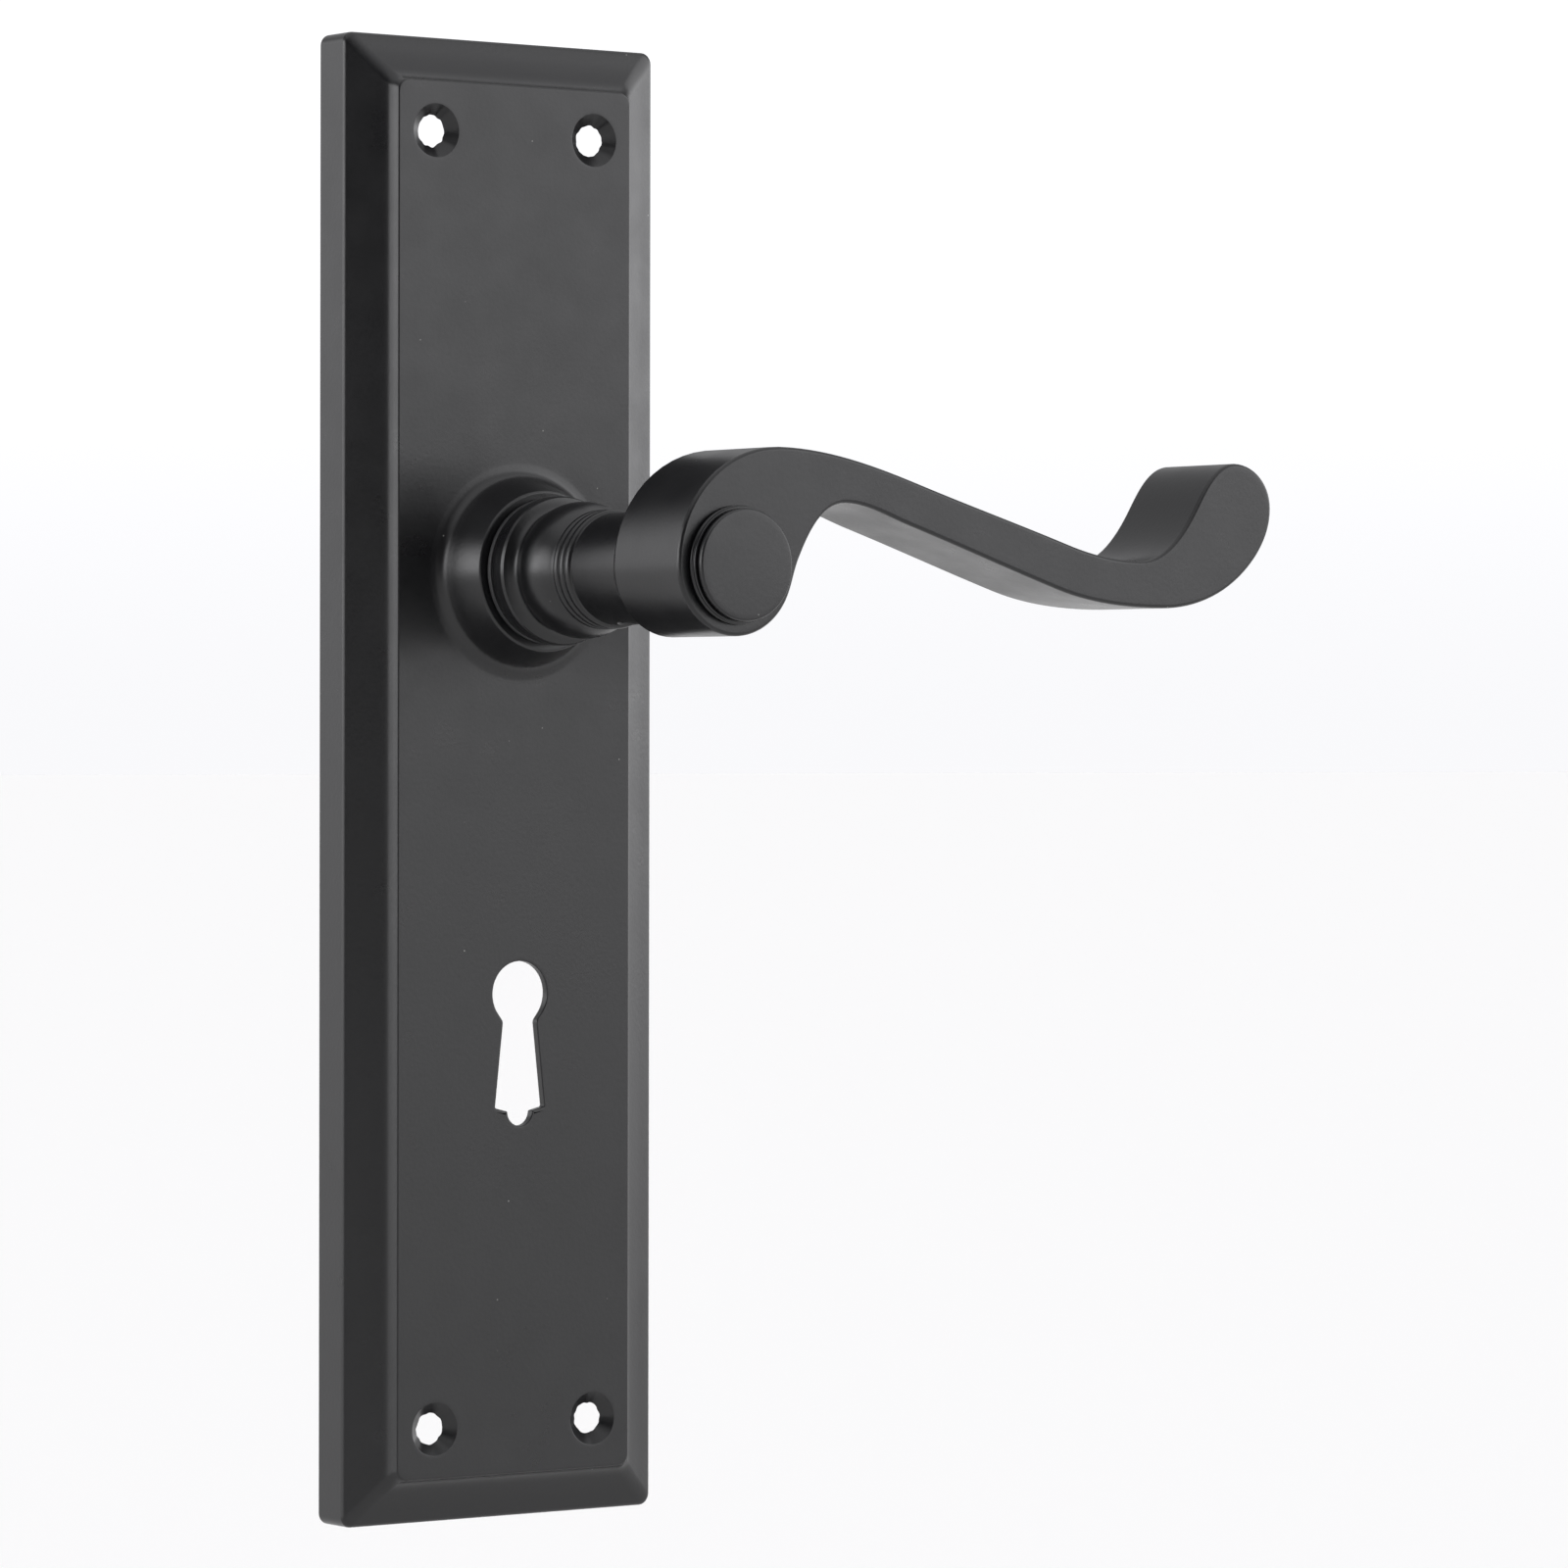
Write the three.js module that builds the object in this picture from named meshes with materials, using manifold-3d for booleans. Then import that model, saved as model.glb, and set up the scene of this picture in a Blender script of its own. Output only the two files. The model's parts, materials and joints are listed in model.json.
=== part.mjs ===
// Lever door handle on a long backplate with a keyhole, with its spring cassette behind the plate.
//
// Millimetres. The origin is the lever's turning axis where it meets the face of the door.
// +X runs along the lever, -Y points out of the door towards the user, +Z is up.
// Each piece that comes off on the bench is one named mesh.

import * as THREE from 'three';
import { mergeVertices } from 'three/addons/utils/BufferGeometryUtils.js';
import Module from 'manifold-3d';

const wasm = await Module();
wasm.setup();

// ---- Driving dimensions -------------------------------------------------------------------------

const ROUND_SEGMENTS = 36;
const SMALL_SEGMENTS = 16;
const PAST = 1; // how far a cutting tool runs past the face it opens
const GAP = 0.3; // clearance between neighbouring pieces
const RUNNING_FIT = 0.1; // radial clearance of the journal in its bush

// backplate: a hollow-backed casting
const PLATE_WIDTH = 50;
const PLATE_HEIGHT = 200;
const PLATE_CENTRE = { x: -0.9, z: -28.1 };
const RIM_DEPTH = 6.1; // straight side wall, door to bevel
const PANEL_FRONT = -9.9;
const PANEL_BACK = -8.5;
const PANEL_INSET = 6.4; // plate edge to flat panel
const CORNER_SCREW = { x: 12.8, z: 87.1, rimRadius: 3.6, throatRadius: 2.1 };

// round boss on the panel, which carries the lever
const BOSS_FRONT = -16.2;
const BOSS_RIM_RADIUS = 10.6;
const BOSS_BORE_RADIUS = 9.1;
const BOSS_ROOT = -9.2; // where bosses and posts are buried in the panel
const BUSH_FLANGE_RADIUS = 9.8;

// keyhole, straight below the lever
const KEYHOLE_DROP = 57; // lever axis to the middle of the keyhole's round
const KEYHOLE_RADIUS = 4.4;

// turned shank between boss and lever
const JOURNAL_RADIUS = 7.6;
const TAIL_RADIUS = 7;
const TAIL_FLAT = 6; // half the distance across the tail's two flats
const TAIL_END = -0.2;
const JOURNAL_BACK = -7.5;
const RING_BACK = -17.5;
const BEADS = { count: 3, pitch: 1.3, crest: 7.95, valley: 7.6, start: -29.65 };
const NECK_RADIUS = 7.5;
const NECK_END = -44.8;
const NECK_LINE = { y: -43.05, depth: 0.35 }; // turned line just behind the arm
const SPIGOT_SIDE = 9;
const SPIGOT_END = -50.8;
const SPIGOT_THREAD_RADIUS = 2.3;

// square spindle, which runs through the lock
const SPINDLE_SIDE = 8;
const SPINDLE_FRONT = -40.5;
const SPINDLE_LENGTH = 75;
const SPINDLE_EASING = 0.6;

// grub screw under the neck, which clamps the spindle
const GRUB = { y: -37.5, radius: 2.2, top: -4.4, bottom: -7.2, keyRadius: 1.4 };

// lever arm: a scroll of even depth, with places as [x, z]. The hub is round about the lever's
// axis, and the bar is straight and grows a little thicker towards the curl.
const HUB_RADIUS = 9.2;
const HUB_FLANK = { at: [10.1, 1], heading: -115 };
const CREST = [7, 15.5];
const ARCH = [17.8, 8.4];
const BAR_START = { at: [29, 8.4], thickness: 5.7 };
const BAR_END = { at: [54, 0.6], thickness: 6.3 };
const CURL = {
  hollow: [67, 1.6],
  flank: { at: [77, 9.4], heading: 59 },
  tip: [83.8, 15.2],
  end: [90.1, 9.2],
  heel: { at: [85.5, 0.5], heading: -138 },
  foot: [71, -4.7],
};
const ARM_BACK = -45.1;
const ARM_FRONT = -60.1;
const ARM_ROUNDING = 0.5;
const COUNTERBORE_RADIUS = 5.2;
const COUNTERBORE_FLOOR = -54.5;
const ARM_HOLE_RADIUS = 2.6;
const HUB_SCREW = { tip: -46, seat: -55.7, head: -58.3, radius: 2, headRadius: 3.5, keyRadius: 1.7 };
const HUB_WASHER = { inner: 2.4, outer: 4.6, back: -54.8, front: -55.4 };

// stepped button on the front of the hub
const BUTTON_FRONT = -62.55;
const BUTTON_BACK = -61.75;
const BUTTON_RADIUS = 7.3;
const BUTTON_STEM = { radius: 2.1, end: -59.5 };
const STEP = { radius: 7.7, plugBack: -58.9, front: -61.45 };

// spring cassette behind the panel
const CASSETTE_RADIUS = 15.2;
const CASSETTE_WALL = 1.5;
const CASSETTE_FLOOR = { front: -8.2, back: -7.4 };
const CASSETTE_RIM = -3.7;
const COVER = { front: -3.4, back: -2.5 };
const EAR_OFFSET = 19.4; // cassette screws, above and below the axis
const EAR_RADIUS = 3.4;
const EAR_FRONT = -5.1;
const EAR_HOLE_RADIUS = 1.7;
const LEG_SLOT = { inHousing: 2.2, inDriver: 1.9 }; // widths
const TAIL_CLEARANCE = 0.5; // round the tail in the cover plate
const POST = { radius: 3.2, end: -5.4, threadRadius: 1.6, threadEnd: -8.9 };
const CASSETTE_SCREW = { head: -0.4, seat: -1.6, tip: -8.1, radius: 1.3, headRadius: 2.6 };
const LOCK_WASHER = { inner: 1.6, outer: 2.9, back: -1.9, front: -2.2 };
const RETAINING_WASHER = { outer: 11, back: -1.8, front: -2.2 };
const DRIVER_RADIUS = 9.4;
const DRIVER_FRONT = -7.2;

// lever travel and the stop lug that sets it, as angles from +X towards +Z
const TRAVEL = 50;
const STOP_CLEARANCE = 1;
const LUG = { from: 75, to: 105, inner: 7.7, outer: 9.3 };
const FIXED_LEG_ANGLE = 225;
const MOVING_LEG_ANGLE = 315;

// torsion spring
const SPRING = { radius: 11.6, wire: 0.65, front: -6.6, back: -4.3, turns: 1.75 };

// retaining ring in the tail's groove: opening is half the angle left open at the bottom
const CLIP_GROOVE = { radius: 6.4, back: -0.5, front: -1.7 };
const CIRCLIP = { inner: 6.7, outer: 8.6, back: -0.7, front: -1.5, opening: 22 };
const CIRCLIP_EYE = { radius: 1.5, hole: 0.7, turn: 4 };

// ---- Materials ----------------------------------------------------------------------------------

const finish = (color, roughness, metalness) =>
  new THREE.MeshStandardMaterial({ color, roughness, metalness });
const BLACK_COAT = finish(0x2b2b2d, 0.5, 0.2);
const NYLON = finish(0x17171a, 0.6, 0);
const PLATED_STEEL = finish(0xb4b6b3, 0.35, 0.9);
const SPRING_STEEL = finish(0x6d6f73, 0.35, 0.95);
const BRIGHT_STEEL = finish(0x9a9c9e, 0.3, 0.95);
const DARK_STEEL = finish(0x3a3a3d, 0.4, 0.9);

// ---- Solids -------------------------------------------------------------------------------------

const radians = (degrees) => THREE.MathUtils.degToRad(degrees);

// Index triples of a merged mesh, without triangles that have shrunk to a line.
function soundTriangles(index) {
  const kept = [];
  for (let i = 0; i < index.length; i += 3) {
    const [a, b, c] = [index[i], index[i + 1], index[i + 2]];
    if (a !== b && b !== c && c !== a) kept.push(a, b, c);
  }
  return kept;
}

function signedVolume(positions, triangles) {
  const corner = (i) => new THREE.Vector3().fromArray(positions, 3 * triangles[i]);
  let volume = 0;
  for (let i = 0; i < triangles.length; i += 3) {
    volume += corner(i).dot(corner(i + 1).cross(corner(i + 2))) / 6;
  }
  return volume;
}

// A closed geometry as a manifold solid with its faces pointing outwards.
function solid(geometry) {
  const bare = geometry.clone();
  bare.deleteAttribute('normal');
  bare.deleteAttribute('uv');
  const merged = mergeVertices(bare, 1e-4);
  const positions = merged.attributes.position.array;
  const triangles = soundTriangles(merged.index.array);
  if (signedVolume(positions, triangles) < 0) triangles.reverse();
  return new wasm.Manifold(new wasm.Mesh({
    numProp: 3,
    vertProperties: new Float32Array(positions),
    triVerts: new Uint32Array(triangles),
  }));
}

const join = (first, ...others) => others.reduce((whole, piece) => whole.add(piece), first);
const cut = (first, ...tools) => tools.reduce((whole, tool) => whole.subtract(tool), first);

function geometryOf(manifold) {
  const { numProp, vertProperties, triVerts } = manifold.getMesh();
  const geometry = new THREE.BufferGeometry();
  const positions = new Float32Array((vertProperties.length / numProp) * 3);
  for (let i = 0; i < positions.length / 3; i++) {
    positions.set(vertProperties.subarray(i * numProp, i * numProp + 3), i * 3);
  }
  geometry.setAttribute('position', new THREE.BufferAttribute(positions, 3));
  geometry.setIndex(Array.from(triVerts));
  geometry.computeVertexNormals();
  return geometry;
}

// A piece turned on the Y axis from [radius, y] pairs, which start and end on the axis
// or close on themselves.
function turned(profile, segments = ROUND_SEGMENTS) {
  return solid(new THREE.LatheGeometry(profile.map(([r, y]) => new THREE.Vector2(r, y)), segments));
}

const disc = (radius, back, front, segments) =>
  turned([[0, back], [radius, back], [radius, front], [0, front]], segments);

const tube = (inner, outer, back, front, segments) =>
  turned([[inner, back], [outer, back], [outer, front], [inner, front], [inner, back]], segments);

// An outline in X and Z, filled from y = back to y = front.
function prism(shape, back, front, curveSegments = ROUND_SEGMENTS / 2, bevel = 0) {
  const geometry = new THREE.ExtrudeGeometry(shape, {
    depth: back - front - 2 * bevel,
    curveSegments,
    bevelEnabled: bevel > 0,
    bevelThickness: bevel,
    bevelSize: bevel,
    bevelOffset: -bevel,
    bevelSegments: 2,
  });
  geometry.rotateX(Math.PI / 2);
  geometry.translate(0, back - bevel, 0);
  return solid(geometry);
}

function block(width, depth, height, x, y, z, turn = 0) {
  const geometry = new THREE.BoxGeometry(width, depth, height);
  geometry.translate(x, y, z);
  geometry.rotateY(-radians(turn));
  return solid(geometry);
}

// A piece moved off the axis.
function moved(piece, x, z) {
  const geometry = geometryOf(piece);
  geometry.translate(x, 0, z);
  return solid(geometry);
}

// Rectangles of the plate's proportions, each inset from its edge at a depth, joined into one solid.
function rectangularLoft(levels) {
  const positions = [];
  for (const [inset, y] of levels) {
    const [w, h] = [PLATE_WIDTH / 2 - inset, PLATE_HEIGHT / 2 - inset];
    for (const [sx, sz] of [[-1, -1], [1, -1], [1, 1], [-1, 1]]) {
      positions.push(PLATE_CENTRE.x + sx * w, y, PLATE_CENTRE.z + sz * h);
    }
  }
  const index = [0, 1, 2, 0, 2, 3];
  for (let level = 0; level < levels.length - 1; level++) {
    for (let side = 0; side < 4; side++) {
      const [a, b] = [4 * level + side, 4 * level + ((side + 1) % 4)];
      index.push(a, a + 4, b, b, a + 4, b + 4);
    }
  }
  const last = 4 * (levels.length - 1);
  index.push(last, last + 2, last + 1, last, last + 3, last + 2);
  const geometry = new THREE.BufferGeometry();
  geometry.setAttribute('position', new THREE.Float32BufferAttribute(positions, 3));
  geometry.setIndex(index);
  return solid(geometry);
}

// A ring sector between two radii and two angles.
function sectorShape(inner, outer, from, to) {
  const shape = new THREE.Shape();
  shape.absarc(0, 0, outer, radians(from), radians(to), false);
  shape.absarc(0, 0, inner, radians(to), radians(from), true);
  shape.closePath();
  return shape;
}

const corners = [[-1, 1], [1, 1], [-1, -1], [1, -1]];

// ---- Backplate ----------------------------------------------------------------------------------

function keyholeShape() {
  const neck = { halfWidth: 2.7, z: -4.1 };
  const foot = { halfWidth: 4, z: -15.4 };
  const notch = { radius: 2, z: -15.9 };
  const shape = new THREE.Shape();
  const shoulder = -Math.acos(neck.halfWidth / KEYHOLE_RADIUS);
  shape.absarc(0, 0, KEYHOLE_RADIUS, shoulder, Math.PI - shoulder, false);
  shape.lineTo(-neck.halfWidth, neck.z);
  shape.lineTo(-foot.halfWidth, foot.z);
  shape.lineTo(-notch.radius, notch.z);
  shape.absarc(0, notch.z, notch.radius, Math.PI, 2 * Math.PI, false);
  shape.lineTo(foot.halfWidth, foot.z);
  shape.lineTo(neck.halfWidth, neck.z);
  shape.closePath();
  return shape;
}

function countersunkHole(sideX, sideZ) {
  const { x, z, rimRadius, throatRadius } = CORNER_SCREW;
  const cone = turned([
    [0, PANEL_BACK + PAST],
    [throatRadius, PANEL_BACK + PAST],
    [throatRadius, PANEL_BACK],
    [rimRadius, PANEL_FRONT],
    [rimRadius, PANEL_FRONT - PAST],
    [0, PANEL_FRONT - PAST],
  ], SMALL_SEGMENTS);
  return moved(cone, PLATE_CENTRE.x + sideX * x, PLATE_CENTRE.z + sideZ * z);
}

// Concave foot on the panel, then a conical side up to a crisp rim.
function bossBody() {
  return turned([
    [0, BOSS_ROOT],
    [14.4, BOSS_ROOT],
    [14.4, PANEL_FRONT + 0.04],
    [13.5, -10.1],
    [12.85, -10.55],
    [12.5, -11.3],
    [11.05, -15.4],
    [10.9, -15.9],
    [BOSS_RIM_RADIUS, BOSS_FRONT],
    [0, BOSS_FRONT],
  ], 40);
}

function screwPost(side) {
  return moved(disc(POST.radius, POST.end, BOSS_ROOT, SMALL_SEGMENTS), 0, side * EAR_OFFSET);
}

function backplate() {
  const skin = rectangularLoft([
    [0, 0],
    [0, -RIM_DEPTH + 0.3],
    [0.35, -RIM_DEPTH],
    [2.8, -7.05],
    [5.1, -8.25],
    [5.9, -9.1],
    [PANEL_INSET - 0.2, -9.75],
    [PANEL_INSET, PANEL_FRONT],
  ]);
  const hollow = rectangularLoft([
    [1.6, PAST],
    [1.6, -5],
    [6.2, -6.9],
    [7.4, PANEL_BACK],
  ]);
  const keyhole = prism(keyholeShape(), PANEL_BACK + PAST, PANEL_FRONT - PAST, 12);
  const thread = disc(POST.threadRadius, POST.end + PAST, POST.threadEnd, SMALL_SEGMENTS);
  return cut(
    join(cut(skin, hollow), bossBody(), screwPost(1), screwPost(-1)),
    disc(BOSS_BORE_RADIUS, PANEL_BACK + PAST, BOSS_FRONT - PAST),
    moved(keyhole, 0, -KEYHOLE_DROP),
    ...corners.map(([sx, sz]) => countersunkHole(sx, sz)),
    moved(thread, 0, EAR_OFFSET),
    moved(thread, 0, -EAR_OFFSET),
  );
}

// Flanged bush: the sleeve lines the boss, the flange keeps the shank's ring off the boss rim.
function bearingBush() {
  const bore = JOURNAL_RADIUS + RUNNING_FIT;
  const sleeve = BOSS_BORE_RADIUS - GAP;
  const sleeveBack = PANEL_BACK - 0.2;
  const flangeBack = BOSS_FRONT - GAP;
  return turned([
    [bore, sleeveBack],
    [sleeve, sleeveBack],
    [sleeve, flangeBack],
    [BUSH_FLANGE_RADIUS, flangeBack],
    [BUSH_FLANGE_RADIUS, RING_BACK + GAP],
    [bore, RING_BACK + GAP],
    [bore, sleeveBack],
  ]);
}

// ---- Lever side ---------------------------------------------------------------------------------

// Narrow beads between the bell and the neck.
function beadProfile() {
  const { count, pitch, crest, valley, start } = BEADS;
  const profile = [];
  for (let bead = 0; bead < count; bead++) {
    const middle = start - bead * pitch;
    const shoulder = 0.3 * pitch;
    profile.push([crest - 0.1, middle + shoulder], [crest, middle], [crest - 0.1, middle - shoulder]);
    profile.push([valley, middle - pitch / 2]);
  }
  return profile;
}

function shank() {
  const body = turned([
    [0, TAIL_END],
    [TAIL_RADIUS, TAIL_END],
    [TAIL_RADIUS, CLIP_GROOVE.back],
    [CLIP_GROOVE.radius, CLIP_GROOVE.back],
    [CLIP_GROOVE.radius, CLIP_GROOVE.front],
    [TAIL_RADIUS, CLIP_GROOVE.front],
    [TAIL_RADIUS, JOURNAL_BACK],
    [JOURNAL_RADIUS, JOURNAL_BACK],
    [JOURNAL_RADIUS, RING_BACK],
    [9.6, RING_BACK],
    [9.95, -17.9], // ring
    [10, -20],
    [9.8, -20.4],
    [8.75, -20.75], // cove, then the bell
    [8.3, -21.3],
    [8.5, -22.2],
    [8.95, -23.4],
    [9.15, -24.9],
    [9, -26.4],
    [8.7, -27.4],
    [8.2, -28.4],
    [7.7, -29],
    ...beadProfile(),
    [NECK_RADIUS - 0.1, -33.1],
    [NECK_RADIUS, -33.5],
    [NECK_RADIUS, NECK_LINE.y + NECK_LINE.depth],
    [NECK_RADIUS - NECK_LINE.depth, NECK_LINE.y],
    [NECK_RADIUS, NECK_LINE.y - NECK_LINE.depth],
    [NECK_RADIUS, NECK_END + 0.4],
    [NECK_RADIUS - 0.4, NECK_END],
    [0, NECK_END],
  ]);
  const flats = [-1, 1].map((side) => block(4, 8, 20, side * (TAIL_FLAT + 2), -3.4, 0));
  const spigotLength = NECK_END - SPIGOT_END + PAST;
  const spigot = block(SPIGOT_SIDE, spigotLength, SPIGOT_SIDE, 0, SPIGOT_END + spigotLength / 2, 0);
  const socketSide = SPINDLE_SIDE + 0.4;
  const socketDepth = PAST - (SPINDLE_FRONT - 0.5);
  const socket = block(socketSide, socketDepth, socketSide, 0, PAST - socketDepth / 2, 0);
  const screwThread = disc(SPIGOT_THREAD_RADIUS, -44, SPIGOT_END - PAST, SMALL_SEGMENTS);
  return cut(join(body, spigot), ...flats, socket, screwThread, grubHole());
}

// A short round piece standing on the Z axis under the spindle.
function underside(radius, top, bottom) {
  const geometry = new THREE.CylinderGeometry(radius, radius, top - bottom, SMALL_SEGMENTS);
  geometry.rotateX(Math.PI / 2);
  geometry.translate(0, GRUB.y, (top + bottom) / 2);
  return solid(geometry);
}

const grubHole = () => underside(GRUB.radius + GAP, -3, -NECK_RADIUS - PAST);

function grubScrew() {
  const key = new THREE.CylinderGeometry(GRUB.keyRadius, GRUB.keyRadius, 3, 6);
  key.rotateX(Math.PI / 2);
  key.translate(0, GRUB.y, GRUB.bottom);
  return cut(underside(GRUB.radius, GRUB.top, GRUB.bottom), solid(key));
}

// Corners of the scroll, clockwise from the left of the hub, with headings in degrees from +X.
function scrollCorners() {
  const [runX, runZ] = [BAR_END.at[0] - BAR_START.at[0], BAR_END.at[1] - BAR_START.at[1]];
  const slope = THREE.MathUtils.radToDeg(Math.atan2(runZ, runX));
  const barSide = ({ at, thickness }, side) => [
    at[0] - side * Math.sin(radians(slope)) * thickness / 2,
    at[1] + side * Math.cos(radians(slope)) * thickness / 2,
  ];
  const onHub = (angle) => ({
    at: [HUB_RADIUS * Math.cos(radians(angle)), HUB_RADIUS * Math.sin(radians(angle))],
    heading: angle - 90,
  });
  return [
    onHub(180),
    { at: CREST, heading: 0 },
    { at: barSide(BAR_START, 1), heading: slope },
    { at: barSide(BAR_END, 1), heading: slope },
    { at: CURL.hollow, heading: 0 },
    CURL.flank,
    { at: CURL.tip, heading: 0 },
    { at: CURL.end, heading: -90 },
    CURL.heel,
    { at: CURL.foot, heading: 180 },
    { at: barSide(BAR_END, -1), heading: slope + 180 },
    { at: barSide(BAR_START, -1), heading: slope + 180 },
    { at: ARCH, heading: 180 },
    HUB_FLANK,
    onHub(-30),
    onHub(-90),
  ];
}

// Joins the corners with the curve that is nearest to an arc for each pair of headings.
function scrollShape() {
  const places = scrollCorners();
  const handle = ({ at, heading }, distance) => [
    at[0] + distance * Math.cos(radians(heading)),
    at[1] + distance * Math.sin(radians(heading)),
  ];
  const shape = new THREE.Shape();
  shape.moveTo(...places[0].at);
  places.forEach((place, i) => {
    const next = places[(i + 1) % places.length];
    const chord = Math.hypot(next.at[0] - place.at[0], next.at[1] - place.at[1]);
    const turn = radians(next.heading - place.heading);
    const halfTurn = Math.atan2(Math.sin(turn), Math.cos(turn)) / 2;
    const reach = chord / (3 * Math.cos(halfTurn / 2) ** 2);
    shape.bezierCurveTo(...handle(place, reach), ...handle(next, -reach), ...next.at);
  });
  return shape;
}

function leverArm() {
  const socketSide = SPIGOT_SIDE + 2 * GAP;
  const socketDepth = ARM_BACK - SPIGOT_END + GAP + PAST;
  return cut(
    prism(scrollShape(), ARM_BACK, ARM_FRONT, 6, ARM_ROUNDING),
    block(socketSide, socketDepth, socketSide, 0, ARM_BACK + PAST - socketDepth / 2, 0),
    disc(ARM_HOLE_RADIUS, SPIGOT_END + PAST, COUNTERBORE_FLOOR - PAST, SMALL_SEGMENTS),
    disc(COUNTERBORE_RADIUS, COUNTERBORE_FLOOR, ARM_FRONT - PAST),
  );
}

// Screw that clamps the arm to the shank's spigot, hidden under the button.
function hubScrew() {
  const { tip, seat, head, radius, headRadius, keyRadius } = HUB_SCREW;
  const body = turned([
    [0, tip],
    [radius, tip],
    [radius, seat],
    [headRadius, seat],
    [headRadius, head + 0.3],
    [headRadius - 0.3, head],
    [0, head],
  ], SMALL_SEGMENTS);
  const key = new THREE.CylinderGeometry(keyRadius, keyRadius, 3, 6);
  key.translate(0, head, 0);
  return cut(body, solid(key));
}

function hubWasher() {
  const { inner, outer, back, front } = HUB_WASHER;
  return tube(inner, outer, back, front, SMALL_SEGMENTS);
}

function buttonStep() {
  const back = ARM_FRONT - GAP;
  const bore = BUTTON_STEM.radius + 0.4;
  const plug = COUNTERBORE_RADIUS - 0.4;
  return turned([
    [bore, STEP.plugBack],
    [plug, STEP.plugBack],
    [plug, back],
    [STEP.radius, back],
    [STEP.radius, -60.8],
    [STEP.radius - 0.2, -60.95], // turned line round the step
    [STEP.radius - 0.15, -61.1],
    [STEP.radius - 0.2, STEP.front],
    [bore, STEP.front],
    [bore, STEP.plugBack],
  ]);
}

function buttonCap() {
  return turned([
    [0, BUTTON_STEM.end],
    [BUTTON_STEM.radius, BUTTON_STEM.end],
    [BUTTON_STEM.radius, BUTTON_BACK],
    [BUTTON_RADIUS, BUTTON_BACK],
    [BUTTON_RADIUS, BUTTON_FRONT + 0.35],
    [BUTTON_RADIUS - 0.35, BUTTON_FRONT + 0.1],
    [5, BUTTON_FRONT + 0.03],
    [0, BUTTON_FRONT],
  ]);
}

// Square bar with eased ends.
function spindle() {
  const half = SPINDLE_SIDE / 2;
  const section = new THREE.Shape();
  section.moveTo(-half, -half);
  section.lineTo(half, -half);
  section.lineTo(half, half);
  section.lineTo(-half, half);
  section.closePath();
  return prism(section, SPINDLE_FRONT + SPINDLE_LENGTH, SPINDLE_FRONT, 1, SPINDLE_EASING);
}

// ---- Spring cassette ----------------------------------------------------------------------------

// Round plate with an ear above and below, each ear with its screw hole.
function earedShape() {
  const shape = new THREE.Shape();
  const spread = Math.asin(EAR_RADIUS / CASSETTE_RADIUS);
  const quarter = Math.PI / 2;
  shape.absarc(0, 0, CASSETTE_RADIUS, spread - quarter, quarter - spread, false);
  shape.absarc(0, EAR_OFFSET, EAR_RADIUS, 0, Math.PI, false);
  shape.absarc(0, 0, CASSETTE_RADIUS, quarter + spread, 3 * quarter - spread, false);
  shape.absarc(0, -EAR_OFFSET, EAR_RADIUS, Math.PI, 2 * Math.PI, false);
  shape.closePath();
  for (const side of [1, -1]) {
    const hole = new THREE.Path();
    hole.absarc(0, side * EAR_OFFSET, EAR_HOLE_RADIUS, 0, 2 * Math.PI, true);
    shape.holes.push(hole);
  }
  return shape;
}

function springHousing() {
  const { front, back } = CASSETTE_FLOOR;
  const inner = CASSETTE_RADIUS - CASSETTE_WALL;
  const ears = prism(earedShape(), CASSETTE_RIM, EAR_FRONT, 8);
  const cup = disc(CASSETTE_RADIUS, CASSETTE_RIM, front);
  const slotDepth = CASSETTE_RIM - back + PAST;
  const slotMiddle = back + slotDepth / 2;
  const legSlot = block(
    4 * CASSETTE_WALL, slotDepth, LEG_SLOT.inHousing, CASSETTE_RADIUS, slotMiddle, 0, FIXED_LEG_ANGLE,
  );
  return cut(
    join(cup, ears),
    disc(inner, CASSETTE_RIM + PAST, back),
    disc(DRIVER_RADIUS + 0.4, back + PAST, front - PAST),
    legSlot,
  );
}

// Two-flat collar on the shank's tail. Its lug works in the cover's window and sets the travel.
function springDriver() {
  const length = CASSETTE_RIM - DRIVER_FRONT;
  const bore = TAIL_RADIUS + 0.2;
  const boreFlat = TAIL_FLAT + GAP;
  const hole = new THREE.Path();
  const flatAngle = Math.acos(boreFlat / bore);
  hole.absarc(0, 0, bore, flatAngle, Math.PI - flatAngle, false);
  hole.absarc(0, 0, bore, Math.PI + flatAngle, 2 * Math.PI - flatAngle, false);
  hole.closePath();
  const shape = new THREE.Shape();
  shape.absarc(0, 0, DRIVER_RADIUS, 0, 2 * Math.PI, false);
  shape.holes.push(hole);
  const middle = DRIVER_FRONT + length / 2;
  const legSlot = block(
    3, length + 2 * PAST, LEG_SLOT.inDriver, DRIVER_RADIUS, middle, 0, MOVING_LEG_ANGLE,
  );
  const lugShape = sectorShape(LUG.inner, LUG.outer, LUG.from, LUG.to);
  const lug = prism(lugShape, COVER.back - 0.1, CASSETTE_RIM - PAST, 6);
  return join(cut(prism(shape, CASSETTE_RIM, DRIVER_FRONT), legSlot), lug);
}

function coverPlate() {
  const window = sectorShape(
    TAIL_RADIUS - TAIL_CLEARANCE,
    LUG.outer + 0.6,
    LUG.from - TRAVEL - STOP_CLEARANCE,
    LUG.to + STOP_CLEARANCE,
  );
  return cut(
    prism(earedShape(), COVER.back, COVER.front, 10),
    disc(TAIL_RADIUS + TAIL_CLEARANCE, COVER.back + PAST, COVER.front - PAST),
    prism(window, COVER.back + PAST, COVER.front - PAST, 12),
  );
}

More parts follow.
